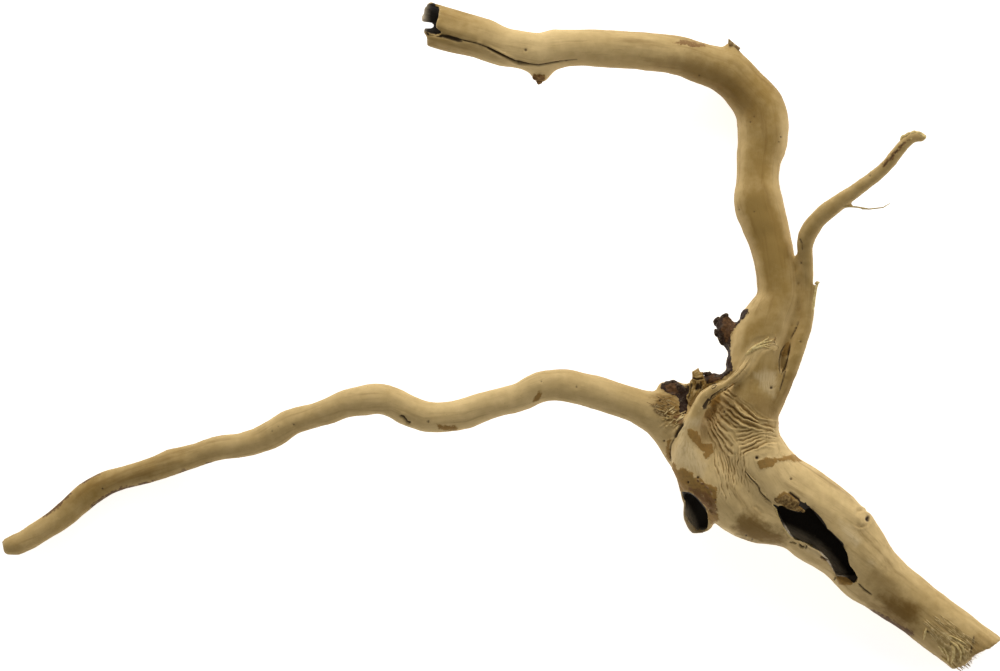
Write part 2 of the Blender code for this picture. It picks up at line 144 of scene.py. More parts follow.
# The hollows' middles, in millimetres: x, y, z and radius.
ROOMS: dict[str, Stations] = {
    "trunk": [
        (110, -66.5, 25.5, 5), (115, -71, 25, 8), (122, -76, 22.5, 9.8), (132, -84, 18.5, 9),
        (140, -91.4, 15.5, 7.2), (146, -97.6, 13.5, 4),
    ],
    "lobe": [(82.8, -60.6, 25.4, 3.6), (81, -66.2, 23.6, 5.6), (79.6, -71.3, 20.6, 5.1), (80.3, -77.2, 17.5, 2.1)],
    "tip": [(-44, 131, 22.2, 6.6), (-26, 124.2, 23.8, 6.4), (-14, 120.6, 25, 5), (-4, 118, 26, 3)],
}

# Mouths of the hollows, as outlines in the picture; what is seen inside them is painted dark as shade.
MOUTHS: dict[str, Route] = {
    "trunk": [
        (772.2, 503.7), (778.2, 515.7), (785.1, 529.5), (790.2, 536.4), (795.4, 538.1), (804, 541.5), (812.6, 545),
        (821.2, 553.6), (826.4, 560.5), (831.5, 567.4), (836.7, 576), (847, 577.7), (853.9, 583.7), (858.2, 577.7),
        (853.9, 570.8), (847, 563.9), (845.3, 553.6), (843.6, 543.3), (836.7, 536.4), (828.1, 527.8), (821.2, 517.5),
        (814.3, 510.6), (805.7, 503.7), (798.8, 499.4), (789.4, 492.5), (794.6, 498), (798.2, 501), (797.5, 504.5),
        (803.5, 508.9), (798.8, 511.4), (788.5, 508.9), (779.9, 507.1),
    ],
    "lobe": [
        (681.5, 491.5), (689.8, 491.5), (696.4, 496.5), (705.5, 507.3), (707.2, 513.9),
        (706.3, 528.9), (701.4, 530.5), (694.7, 520.6), (688.1, 507.3), (683.1, 497.3),
    ],
    "tip": [
        (427, 6.6), (430, 3.5), (435, 2.5), (436, 10), (437, 21), (434, 25), (424, 25),
        (420, 21.6), (423.5, 14), (426, 9),
    ],
}


# The parts of the hollows' walls that catch light, as outlines in the picture.
LIT_WALLS: list[Route] = [
    [
        (784, 520), (792, 523), (808, 531), (824, 541), (838, 556), (850, 572), (846, 592), (826, 584), (806, 562),
        (790, 552), (774, 534),
    ],
    [
        (674, 486), (681, 487), (687, 497), (692, 506), (697, 515), (701, 526), (710, 526), (714, 540), (700, 548),
        (684, 538), (672, 510),
    ],
    [(402, 36), (406, 8), (424, -6), (432, 4), (431, 24), (424, 38)],
]


class Hue(Enum):
    """The finishes that marks on the skin are painted in."""

    THIN_BARK = "thin_bark"
    RED_BARK = "red_bark"
    DARK_BARK = "dark_bark"
    GOLDEN = "golden"
    EMBER = "ember"
    STAIN = "stain"
    SHADE = "shade"
    HOLLOW_WALL_SHADE = "hollow_wall_shade"
    BLEACHED = "bleached"


# Patches of another colour, as outlines in the picture.
PATCHES: dict[Hue, list[Route]] = {
    Hue.THIN_BARK: [
        [
            (687.8, 429.4), (692.2, 428.9), (696.7, 432.2), (700, 436.7), (700.6, 442.2), (705.6, 445),
            (711.1, 444.4), (713.3, 448.9), (712.2, 453.3), (708.9, 457.8), (705.6, 458.9), (703.9, 455.6),
            (704.4, 452.2), (700, 448.9), (695.6, 446.7), (693.3, 443.3), (690.6, 438.9), (687.8, 434.4),
        ],
        [
            (756.7, 460), (759.4, 458.9), (763.3, 459.4), (767.8, 456.7), (772.2, 457.8), (778.9, 457.8),
            (784.4, 456.7), (791.1, 454.4), (795.6, 454.4), (802.2, 461.1), (795.6, 462.2), (791.1, 460.6),
            (784.4, 461.1), (778.9, 461.7), (774.4, 463.3), (772.2, 466.7), (765.6, 468.9), (758.9, 470),
            (757.8, 465.6),
        ],
        [
            (672.2, 462.8), (675, 463.9), (676.1, 467.8), (679.4, 469.4), (683.9, 467.8), (687.8, 469.4),
            (690, 472.2), (693.3, 473.3), (694.4, 476.7), (698.9, 477.8), (702.2, 480), (706.7, 483.3),
            (711.1, 484.4), (715.6, 487.8), (716.7, 493.3), (716.7, 503.3), (712.2, 504.5), (706.7, 510.4),
            (703.3, 504.4), (698.9, 498.9), (693.3, 494.4), (687.8, 491), (680, 490.6), (676.7, 477.8),
            (672.2, 470),
        ],
        [(775, 497), (783.5, 491.5), (790.5, 493), (799, 502), (804, 509.5), (799, 512), (789, 509.5), (781, 504.5)],
        [(534, 75), (545, 75), (544, 83), (538, 84), (535, 81)],
        [(533, 403.5), (534.5, 397), (538, 391), (541, 389.5), (542.5, 393), (540, 399), (536, 402)],
        [(436, 423.5), (446, 424.5), (456, 426), (458, 429), (452, 431), (443, 430), (438, 427)],
        [(707.8, 511), (713, 512.5), (718, 513), (719, 520), (711, 523), (707.5, 519)],
        [(836, 577), (842, 575), (849, 577.5), (854, 584), (847, 586), (839, 584)],
        # Painted shadow beside and under the strap-like root, in the thin bark's brown.
        [(709, 404), (712, 398.5), (718, 394), (724.5, 389), (721.5, 395), (719.5, 402), (714, 405.5)],
        # Painted shade in the valley along the swelling's left edge, in the thin bark's brown.
        [(667.5, 440), (671.5, 439), (670.2, 446), (669.8, 454), (670.6, 461), (667, 457), (666, 448)],
        [(784.6, 346), (789, 341.5), (790.6, 345), (789.4, 351), (786, 356), (781.4, 357), (780.8, 353)],
    ],
    Hue.RED_BARK: [
        [(673, 42.5), (680, 40), (692, 42), (704, 43.5), (706.5, 46.5), (697, 47), (684, 45)],
        [(688, 487), (697, 488), (706, 491), (713, 497), (717, 507), (717, 514), (711, 513), (705, 505), (697, 497)],
        [(882, 164), (889, 157), (897, 149), (906, 139.5), (909, 140), (900, 150), (891, 160), (884, 167)],
        [(818.5, 556.5), (825, 556), (830, 560), (826, 562)],
        [(674, 416), (680, 412), (685, 415), (683, 422), (678, 427), (673, 424)],
    ],
    Hue.DARK_BARK: [
        [
            (661, 384), (668.7, 381), (674.4, 379), (680.6, 384), (686.5, 388), (687.8, 395), (688.5, 402),
            (687, 412), (683, 417), (679, 411), (680, 402), (676, 396), (671, 395), (666, 392), (661, 389),
        ],
        [
            (703, 372), (709.8, 371), (714.1, 373), (722.7, 372.5), (726.5, 370), (725, 362), (725, 351.6),
            (715, 342), (710, 333), (713, 324), (726, 311), (748, 309), (749, 313), (740, 322), (735, 328),
            (731, 335), (730.5, 352), (732, 362), (733.5, 371), (721.3, 379), (709.3, 383.5), (704.6, 384),
        ],
    ],
    Hue.GOLDEN: [
        [
            (684.4, 380.3), (686.9, 378), (690, 377), (691.6, 375), (691, 368), (695.9, 367), (700.3, 367),
            (703.2, 371), (703.6, 378.4), (705.6, 380.3), (706, 385), (703.5, 389), (699.3, 391.5),
            (695, 396.5), (690, 404.5), (687.5, 403), (687, 394.6), (684.8, 388),
        ],
    ],
    Hue.EMBER: [
        [(723, 316), (731, 317), (736, 324), (731, 336), (726, 342), (722, 330)],
        [(664, 383), (675, 382), (678, 392), (673, 394), (667, 391)],
        [(709, 376), (718, 375), (723, 376), (716, 381), (709, 382)],
        [(43, 518.8), (50, 513.8), (57, 509), (63, 502.8), (72, 493.6), (64, 488), (50, 498), (42, 508)],
        [(80.6, 485), (87, 482.6), (92, 478.6), (102, 473.2), (95, 466), (82, 475)],
        [
            (91, 506), (98, 500.4), (105, 496), (112, 491), (120, 488.2), (131, 485), (143.5, 483), (156, 480),
            (152, 492), (130, 498), (112, 506), (98, 514),
        ],
        [(179.5, 472.6), (184, 469.8), (188.5, 469.2), (190, 474), (182, 477)],
        [(200, 467.6), (206, 463.4), (214, 461), (217, 464), (206, 471)],
        [
            (866, 607), (878, 612), (890, 618.5), (897, 623), (904, 627), (913, 631.5), (914, 636), (904, 633), (890, 627),
            (876, 618), (866, 612),
        ],
    ],
    Hue.SHADE: [
        [(863, 596), (880, 604), (900, 617), (919, 629), (913, 636), (890, 624), (866, 608)],
        [(872, 566), (886, 572), (900, 588), (918, 606), (914, 621), (900, 613), (882, 596), (868, 580)],
        [(648, 60), (690, 58), (728, 68), (748, 84), (760, 104), (764, 122), (746, 122), (730, 102), (708, 84), (686, 74)],
        [(752, 396), (770, 400), (781, 405), (780, 421), (766, 420), (752, 412), (744, 402)],
        [(54, 510), (73, 493), (96, 480), (88, 489), (66, 505)],
        [(93, 484), (120, 478), (155, 470), (155, 474), (118, 483), (95, 489)],
        [(818, 446), (836, 470), (855, 492), (852, 499), (833, 484), (814, 462)],
        [(716, 396), (730, 400), (738, 412), (736, 424), (722, 414), (712, 408)],
        [(786, 376), (800, 372), (796, 396), (784, 420), (776, 416), (780, 396)],
        [(968, 642), (974, 636), (990, 640), (998, 646), (984, 652), (972, 658), (966, 650)],
    ],
    Hue.STAIN: [
        [
            (736.7, 517.8), (746.7, 515.6), (756.7, 517.8), (765.6, 524.4), (776.7, 531.1), (788, 540),
            (784, 546), (756.7, 544), (741, 537), (734, 527),
        ],
        [(652, 398), (664, 393), (676, 397), (683, 406), (680, 420), (668, 422), (656, 414)],
        [(878, 596), (896, 600), (912, 603), (920, 609), (916, 622), (902, 622), (886, 611)],
    ],
    # Painted shade on the inner wall of the lobe's hollow.
    Hue.HOLLOW_WALL_SHADE: [
        [
            (680, 488), (684, 500), (688, 511), (694, 522), (700, 531), (706, 529.5), (708, 534), (704, 539),
            (699, 539), (690, 533), (684, 521), (679, 505),
        ],
    ],
    Hue.BLEACHED: [
        [(754, 373), (764, 370), (776, 372), (779, 384), (774, 397), (765, 390), (758, 382)],
        [(838, 520), (852, 527), (862, 540), (856, 546), (845, 536)],
        [(868, 561), (873, 560.5), (874, 564), (869, 564)],
        [(682, 424), (690, 418), (700, 418), (706, 424), (702, 429), (690, 426), (684, 440), (679, 452), (676, 446)],
        [(805, 541), (815, 546), (824, 556), (818, 556), (806, 549)],
        [(673, 444), (683, 435), (692, 446), (700, 456), (707, 466), (702, 476), (690, 470), (675, 463)],
    ],
}


@dataclass(frozen=True)
class Furrow:
    """A crease, wrinkle or crack that follows a route in the picture.

    Attributes:
        route: The route, in picture coordinates.
        depth: How deep it is pressed in, in millimetres.
        width: Half its width, in millimetres.
        lip: How high its edges stand up, as a share of the depth.
    """

    route: Route
    depth: float = 0.8
    width: float = 0.75
    lip: float = 0.55


def ring(x: float, y: float, radius: float) -> Route:
    """A closed round route in the picture."""
    return [(x + radius * math.cos(math.tau * turn / 16), y + radius * math.sin(math.tau * turn / 16)) for turn in range(17)]


def fan(first: Route, last: Route, count: int, depth: float, width: float) -> list[Furrow]:
    """Creases that lie side by side between two routes.

    Args:
        first: The route on one side.
        last: The route on the other side, with as many points.
        count: How many creases there are.
        depth: How deep they are, in millimetres.
        width: Half their width, in millimetres.

    Returns:
        The creases.
    """
    made = []
    for index in range(count):
        share = index / (count - 1)
        route = [(a + share * (c - a), b + share * (d - b)) for (a, b), (c, d) in zip(first, last)]
        strength = 1.0 - 0.35 * (index % 2) + 0.2 * math.sin(2.7 * index)
        made.append(Furrow(route, depth * strength, width, 0.75))
    return made


FOLDS: list[Furrow] = [
    Furrow([(722.8, 393.9), (727.4, 396.2), (733.6, 400), (740.4, 405.3), (747.3, 411.5), (753.5, 416.8), (760.3, 420.6), (768, 422.9), (780, 424)], 0.85, 0.5, 0.75),
    Furrow([(720.7, 399), (725.9, 403.8), (733.6, 407.6), (738, 413), (742.5, 416.8), (750, 419.9), (757, 422.4), (765, 425.4), (780, 427.5)], 1.0, 0.6, 0.75),
    Furrow([(725.9, 390.8), (730.5, 393.9), (735.9, 397)], 0.6, 0.42, 0.9),
    Furrow([(726, 398.5), (732, 402.5), (737, 406.5), (743, 412)], 0.35, 0.42, 0.9),
    Furrow([(735, 403.5), (742, 410), (749, 416), (756, 420)], 0.4, 0.34, 0.7),
    Furrow([(724, 406.5), (730, 411), (735, 415.6), (739.5, 420), (747, 424.5), (756, 427), (768, 429)], 0.85, 0.6, 0.8),
    Furrow([(717.5, 411), (722.8, 417), (729, 422.6), (734, 427.6), (738, 430)], 0.7, 0.5, 0.8),
    Furrow([(727.4, 415.5), (733, 421), (739, 427)], 0.5, 0.4, 0.8),
    Furrow([(736.6, 421), (743.5, 424.6), (751.2, 428), (761.1, 430)], 0.45, 0.4, 0.6),
    Furrow(ring(725.4, 412, 4.6), 0.3, 0.36, 0.5),
    *fan(
        [(733, 433.5), (742, 433), (750, 430.6), (761, 430.8), (780, 432)],
        [(738, 455), (748, 451), (758, 446), (768, 442), (781, 441)], 6, 0.5, 0.44,
    ),
    *fan(
        [(713, 413), (718, 420), (724, 427), (731, 434)], [(705, 415), (710, 428), (717, 440), (724, 453)], 4, 0.5, 0.44,
    ),
    *fan(
        [(741, 447), (745, 462), (747, 480), (749, 497)], [(714, 449), (716, 466), (722, 486), (728, 506)], 11, 0.2, 0.36,
    ),
    Furrow(ring(862.5, 518.6, 8.6), 0.4, 0.55, 0.6),
    Furrow([(706, 414), (709, 420), (713, 428), (718, 440), (722, 452)], 0.35, 0.6),
    Furrow([(725, 444), (728, 449), (733, 454)], 0.6, 0.5),
    Furrow([(724, 437), (729, 441), (732, 447)], 0.5, 0.5),
    Furrow([(688, 421), (691, 409), (698, 396), (708, 386), (723, 380.4), (733, 372.4), (741.5, 365), (748, 355.7), (751.4, 349)], 0.4, 0.5, 0.0),
    Furrow([(704, 407), (708, 400), (718, 394), (725, 390.6), (733, 384), (740, 375.6), (746, 367), (751, 355)], 0.8, 0.6, 0.0),
    Furrow([(743.3, 459), (744.5, 464), (745, 471.1)], 0.3, 0.5),
    Furrow([(752, 505), (758, 511), (764, 514)], 0.3, 0.5),
    Furrow([(800, 280), (801, 292), (799, 306), (798, 320), (794, 332), (788, 341)], 0.4, 0.5, 0.2),
    Furrow([(786, 375), (783, 384), (781, 395)], 0.4, 0.6, 0.2),
]


@dataclass(frozen=True)
class Combed:
    """An area of fine ridges that all run one way.

    Attributes:
        outline: The area, in picture coordinates.
        heading: Which way the ridges run in the picture, in degrees down from the right.
        spacing: Distance between ridges, in millimetres.
        height: How high they stand, in millimetres.
        stretch: How much longer than wide they are.
    """

    outline: Route
    heading: float
    spacing: float
    height: float
    stretch: float = 6.0


COMBED: list[Combed] = [
    Combed([(737, 414), (782, 420), (783, 442), (770, 452), (742, 456), (733, 434)], 2.0, 1.3, 0.34, 7.0),
    Combed([(716, 388), (732, 386), (770, 414), (780, 424), (752, 424), (730, 414), (712, 404)], 38.0, 1.2, 0.36, 7.0),
    Combed([(704, 408), (722, 404), (740, 424), (740, 446), (722, 450), (708, 430)], 58.0, 1.2, 0.3, 5.0),
    Combed([(712, 446), (726, 438), (746, 446), (756, 470), (758, 504), (748, 518), (730, 512), (718, 500), (712, 470)], 96.0, 1.15, 0.36, 7.0),
    Combed([(726, 448), (740, 446), (745, 470), (735, 480), (722, 470)], 62.0, 1.5, 0.26, 4.0),
    Combed([(735, 500), (752, 495), (762, 515), (750, 524), (738, 516)], 70.0, 1.6, 0.22, 6.0),
    Combed([(652, 396), (664, 391), (677, 397), (684, 408), (681, 420), (668, 424), (655, 414)], 15.0, 1.2, 0.6, 3.0),
    Combed([(652, 416), (668, 420), (684, 416), (684, 430), (674, 444), (662, 436)], -38.0, 1.4, 0.5, 4.0),
    Combed([(754, 372), (776, 368), (782, 384), (774, 400), (760, 394)], -25.0, 1.6, 0.14, 4.0),
    Combed([(684, 474), (700, 476), (718, 486), (720, 512), (706, 512), (694, 494), (680, 490)], 48.0, 1.5, 0.34, 2.5),
    Combed([(730, 512), (760, 514), (790, 540), (775, 548), (745, 540)], 35.0, 2.2, 0.16, 3.0),
    Combed([(850, 575), (905, 610), (960, 650), (940, 668), (880, 630), (845, 596)], 37.0, 2.0, 0.16, 8.0),
    Combed([(920, 612), (950, 590), (1004, 640), (965, 675), (940, 668)], 37.0, 1.1, 0.34, 9.0),
]
# Cracks and dark gaps, as routes in the picture: pressed into the wood and painted dark as shade.
CRACKS: list[Furrow] = [
    Furrow([(745, 471.1), (751.1, 478.9), (757.8, 485.6), (760, 492.2), (766.7, 498.9), (772.2, 503.3)], 0.8, 0.22, 0.6),
    Furrow([(683.4, 423), (680.5, 427.4), (677.6, 432), (674.6, 438.4)], 1.0, 0.5, 0.3),
    Furrow([(434.7, 34), (454.6, 38), (466, 41), (479.5, 44), (499, 53), (519, 63), (539, 65), (556, 62), (579, 59)], 0.7, 0.26, 0.2),
    Furrow([(424, 33), (436, 35), (447, 37), (462, 41.5)], 1.5, 0.85, 0.0),
    Furrow([(484, 46), (499, 53.5), (515, 61), (532, 64.6)], 0.8, 0.42, 0.6),
    Furrow([(798.6, 320), (795, 330), (790.4, 339)], 0.35, 0.2, 0.6),
    Furrow([(785.5, 344.5), (781, 352), (779.4, 361), (779.8, 374)], 0.6, 0.22, 0.3),
    Furrow([(799.5, 238), (801.5, 243), (802.5, 250)], 0.5, 0.3, 0.2),
    Furrow([(858, 583), (864, 589), (872, 595)], 0.5, 0.28, 0.6),
    Furrow([(399, 415.4), (403, 416.6), (406, 420), (407.4, 423), (410, 423.6)], 1.0, 0.38, 0.4),
    Furrow([(883, 167), (890, 159), (898, 149), (905, 141)], 0.5, 0.26, 0.4),
    Furrow([(710.8, 387), (712.2, 384.6), (715, 383.2), (716.4, 384.6), (715.2, 387), (712.6, 388.6), (710.8, 387)], 0.2, 0.18, 0.6),
    Furrow([(790.4, 343), (789, 350), (787.4, 358), (785, 367), (781, 375)], 0.6, 0.25, 0.3),
    Furrow([(686, 379), (687, 386), (687.6, 395)], 0.7, 0.4, 0.0),
    Furrow([(691, 377.6), (697, 379.4), (703, 378)], 0.6, 0.3, 0.4),
    Furrow([(700, 381), (701.5, 386), (700.5, 390)], 0.6, 0.26, 0.3),
    Furrow([(692, 383), (691, 390), (689, 399)], 0.5, 0.26, 0.3),
    Furrow([(674.8, 437.6), (671, 445), (670.2, 453), (671.4, 461)], 0.4, 0.2, 0.2),
    Furrow([(785.5, 369), (783, 380), (779.5, 391)], 0.5, 0.26, 0.2),
    # Painted shadow: the dark gap under the strap-like root and the line along its right edge.
    Furrow([(703.4, 408.6), (706, 404.4), (710.5, 400)], 0.9, 0.8, 0.0),
    Furrow([(710, 400.6), (717, 394.2), (726, 387.6)], 0.6, 0.3, 0.0),
    Furrow([(789, 492), (794, 496), (800, 500.5)], 0.8, 0.45, 0.3),
    Furrow([(789.5, 542.5), (793, 542), (796.5, 544)], 0.6, 0.28, 0.9),
    Furrow([(799, 544), (801.5, 546.5), (804.5, 547)], 0.6, 0.4, 0.9),
    Furrow([(805.5, 549), (807, 545.5)], 0.5, 0.26, 0.9),
    Furrow([(820.5, 556), (825, 559), (828.5, 560)], 0.5, 0.24, 0.6),
    Furrow([(835.5, 577), (834, 580.5)], 0.4, 0.2, 0.8),
    Furrow([(974, 636), (972.5, 645), (970, 655)], 0.7, 0.35, 0.4),
    Furrow([(925, 630), (932, 634), (939, 638)], 0.5, 0.3, 0.5),
]
# Bore holes and pits: the place in the picture, then the radius in millimetres.
PITS: list[tuple[float, float, float]] = [
    (771.3, 387.8, 0.5), (754, 116, 0.4), (750, 122, 0.35), (781, 137, 0.4), (779, 142, 0.35), (739, 210, 0.4),
    (754, 212, 0.35), (800.6, 263, 0.4), (870, 175.5, 0.4), (883.5, 169, 0.35), (801, 341.6, 0.4), (428, 421.8, 0.55), (409.4, 423.2, 0.6), (909, 139.6, 0.35), (906.4, 142.5, 0.4),
    (951.4, 645, 0.5), (956.3, 648.5, 0.55),
    (576.3, 386.3, 0.5), (541, 381, 0.35), (608, 395, 0.35), (102.5, 488.6, 0.4), (278, 426, 0.35), (272, 431, 0.35),
    (294, 425, 0.35), (756.9, 457.8, 0.65), (697.4, 386.6, 1.3), (696, 388.6, 0.8), (715, 500, 0.4), (866.4, 519.6, 1.0), (867.4, 518, 0.7), (791, 479, 0.4),
    (699.5, 75.5, 0.35), (525.6, 50, 0.5), (676, 479, 0.3), (698, 477.5, 0.45), (688.5, 482, 0.4), (725.4, 412, 0.35),
    (746, 536, 0.4), (752, 540, 0.35), (664, 441, 0.4), (660, 400, 0.35), (668, 405, 0.4), (656.5, 404, 0.3),
]
# Low round bumps: the place in the picture, the radius and the height in millimetres.
BUMPS: list[tuple[float, float, float, float]] = [
    (862.8, 518.6, 3.4, 1.0), (866.6, 519.2, 2.0, 0.5), (725.4, 411.8, 1.8, 0.5), (721.8, 423.6, 2.0, 0.7), (730, 391.6, 1.6, 0.5), (713.6, 386, 1.3, 0.25), (479.5, 43, 1.2, 0.5),
    (728.5, 446, 1.2, 0.4), (740.6, 149, 0.6, 0.25), (828, 528, 1.0, 0.3), (706, 408, 1.2, 0.4), (711, 407, 1.0, 0.4),
]
# Closer faces are laid over these outlines of the picture, once or twice.
CLOSE_AREAS: list[Route] = [
    [
        (640, 372), (690, 345), (705, 300), (760, 300), (800, 330), (800, 440), (850, 470), (905, 560),
        (860, 610), (780, 560), (700, 545), (665, 500), (655, 450), (640, 420),
    ],
    [(415, -5), (445, -5), (490, 30), (560, 60), (545, 90), (520, 80), (415, 45)],
]
CLOSEST_AREAS: list[Route] = [
    [
        (652, 380), (686, 375), (692, 362), (722, 365), (710, 335), (712, 305), (745, 305), (735, 330), (740, 365),
        (760, 385), (784, 410), (784, 442), (765, 470), (722, 516), (690, 500), (665, 460), (682, 432), (652, 415),
    ],
]


@dataclass(frozen=True)
class Picture:
    """The camera's projection: it looks straight down on the table.

    Attributes:
        width: Picture width in pixels.
        height: Picture height in pixels.
        camera_height: Height of the camera over the table, in millimetres.
        lens: Focal length, in millimetres.
        sensor: Sensor width, in millimetres.
    """

    width: float = 1000.0
    height: float = 671.0
    camera_height: float = 3020.0
    lens: float = 270.0
    sensor: float = 36.0

    def per_mm(self, z: Array | float) -> Array | float:
        """Pixels for a millimetre at height z."""
        return self.width * self.lens / self.sensor / (self.camera_height - z)

    def project(self, places: Array) -> Array:
        """Picture coordinates of places given in millimetres, one row each."""
        scale = self.per_mm(places[:, 2])
        return np.stack([self.width / 2 + places[:, 0] * scale, self.height / 2 - places[:, 1] * scale], axis=1)

    def locate(self, x: float, y: float, z: float) -> Vector:
        """The place in millimetres at height z that is seen at a point of the picture."""
        scale = self.per_mm(z)
        return Vector(((x - self.width / 2) / scale, (self.height / 2 - y) / scale, z))


PICTURE = Picture()
PIXEL = 0.4  # millimetres across a pixel at the height of the limbs


@dataclass(frozen=True)
class Noise:
    """Smooth seeded noise in space, from -1 to 1.

    Attributes:
        seed: Draws another pattern.
        size: Size of its largest lumps, in millimetres.
        octaves: How many finer layers are added up.
    """

    seed: int
    size: float
    octaves: int = 2

    def sample(self, points: Array) -> Array:
        """The noise at each point."""
        table = np.random.default_rng(self.seed).uniform(-1.0, 1.0, 4096)
        total = np.zeros(len(points))
        whole = 0.0
        for octave in range(self.octaves):
            share = 0.5**octave
            total += share * self._layer(points * (2.0**octave / self.size) + 17.3 * (octave + 1), table)
            whole += share
        return total / whole

    def _layer(self, points: Array, table: Array) -> Array:
        """One layer of lattice noise."""
        cell = np.floor(points).astype(np.int64)
        part = points - cell
        ease = part * part * (3.0 - 2.0 * part)
        total = np.zeros(len(points))
        for corner in itertools.product((0, 1), repeat=3):
            at = cell + np.array(corner)
            key = (at[:, 0] * 73856093) ^ (at[:, 1] * 19349663) ^ (at[:, 2] * 83492791)
            key = (key ^ (key >> 11)) & 4095
            share = np.prod(np.where(np.array(corner) == 1, ease, 1.0 - ease), axis=1)
            total += share * table[key]
        return total


def ease_between(low: float, high: float, value: Array) -> Array:
    """A smooth step from 0 at low to 1 at high."""
    share = np.clip((value - low) / (high - low), 0.0, 1.0)
    return share * share * (3.0 - 2.0 * share)


def along_route(points: Array, route: Route, reach: float) -> tuple[Array, Array]:
    """Measures points of the picture against a route.

    Args:
        points: Picture coordinates, one row each.
        route: The route.
        reach: Farther points than this, in pixels, are all given this distance.

    Returns:
        The distance of each point, and how far along the route it lies, from 0 to 1.
    """
    line = np.array(route, float)
    near = np.all((points > line.min(0) - reach) & (points < line.max(0) + reach), axis=1)
    close = points[near]
    best = np.full(len(close), reach)
    place = np.zeros(len(close))
    lengths = np.linalg.norm(np.diff(line, axis=0), axis=1)
    starts = np.concatenate([[0.0], np.cumsum(lengths)])
    for index, length in enumerate(lengths):
        step = line[index + 1] - line[index]
        share = np.clip((close - line[index]) @ step / max(length * length, 1e-9), 0.0, 1.0)
        away = np.linalg.norm(close - line[index] - share[:, None] * step, axis=1)
        nearer = away < best
        best = np.where(nearer, away, best)
        place = np.where(nearer, (starts[index] + share * length) / starts[-1], place)
    distance = np.full(len(points), reach)
    part = np.zeros(len(points))
    distance[near] = best
    part[near] = place
    return distance, part


def patch_depth(points: Array, outline: Route, reach: float = 12.0) -> Array:
    """How far inside an outline each point of the picture lies, in pixels; outside is negative."""
    edge, _ = along_route(points, outline + outline[:1], reach)
    inside = np.zeros(len(points), bool)
    x, y = points.T
    for (ax, ay), (bx, by) in zip(outline, outline[1:] + outline[:1]):
        if ay != by:
            inside ^= ((y > ay) != (y > by)) & (x < (bx - ax) * (y - ay) / (by - ay) + ax)
    return np.where(inside, edge, -edge)


@dataclass(frozen=True)
class Limb:
    """One limb's middle line, which the grain follows.

    Attributes:
        stations: x, y, z and radius along the middle, in millimetres, then the paleness.
    """

    stations: list[tuple[float, ...]]

    def measure(self, places: Array) -> tuple[Array, Array, Array]:
        """Measures places against the limb.

        Args:
            places: Places in millimetres, one row each.

        Returns:
            The distance from the limb's own round surface, the place along and across the limb,
            and how pale the wood is there.
        """
        line = np.array(self.stations, float)
        middle, radius, tones = line[:, :3], line[:, 3], line[:, 4]
        steps = np.diff(middle, axis=0)
        lengths = np.linalg.norm(steps, axis=1)
        starts = np.concatenate([[0.0], np.cumsum(lengths)])
        sides = self._sides(steps / lengths[:, None])
        gap = np.full(len(places), 1e9)
        grain = np.zeros((len(places), 3))
        pale = np.zeros(len(places))
        for index, (step, length) in enumerate(zip(steps, lengths)):
            share = np.clip((places - middle[index]) @ step / length**2, 0.0, 1.0)
            offset = places - middle[index] - share[:, None] * step
            away = np.linalg.norm(offset, axis=1) - radius[index] - share * (radius[index + 1] - radius[index])
            nearer = away < gap
            gap = np.where(nearer, away, gap)
            pale = np.where(nearer, tones[index] + share * (tones[index + 1] - tones[index]), pale)
            side = sides[index] + share[:, None] * (sides[index + 1] - sides[index])
            side /= np.linalg.norm(side, axis=1)[:, None]
            up = np.cross(step / length, side)
            here = np.stack(
                [starts[index] + share * length, np.sum(offset * side, axis=1), np.sum(offset * up, axis=1)], axis=1
            )
            grain = np.where(nearer[:, None], here, grain)
        return gap, grain, pale

    def _sides(self, directions: Array) -> Array:
        """A sideways direction at each station that turns as little as possible."""
        tangents = np.vstack([directions[:1], (directions[:-1] + directions[1:]) / 2, directions[-1:]])
        side = np.cross(tangents[0], (0.0, 0.0, 1.0))
        found = []
        for tangent in tangents:
            side = side - tangent * (side @ tangent) / (tangent @ tangent)
            side = side / np.linalg.norm(side)
            found.append(side)
        return np.array(found)


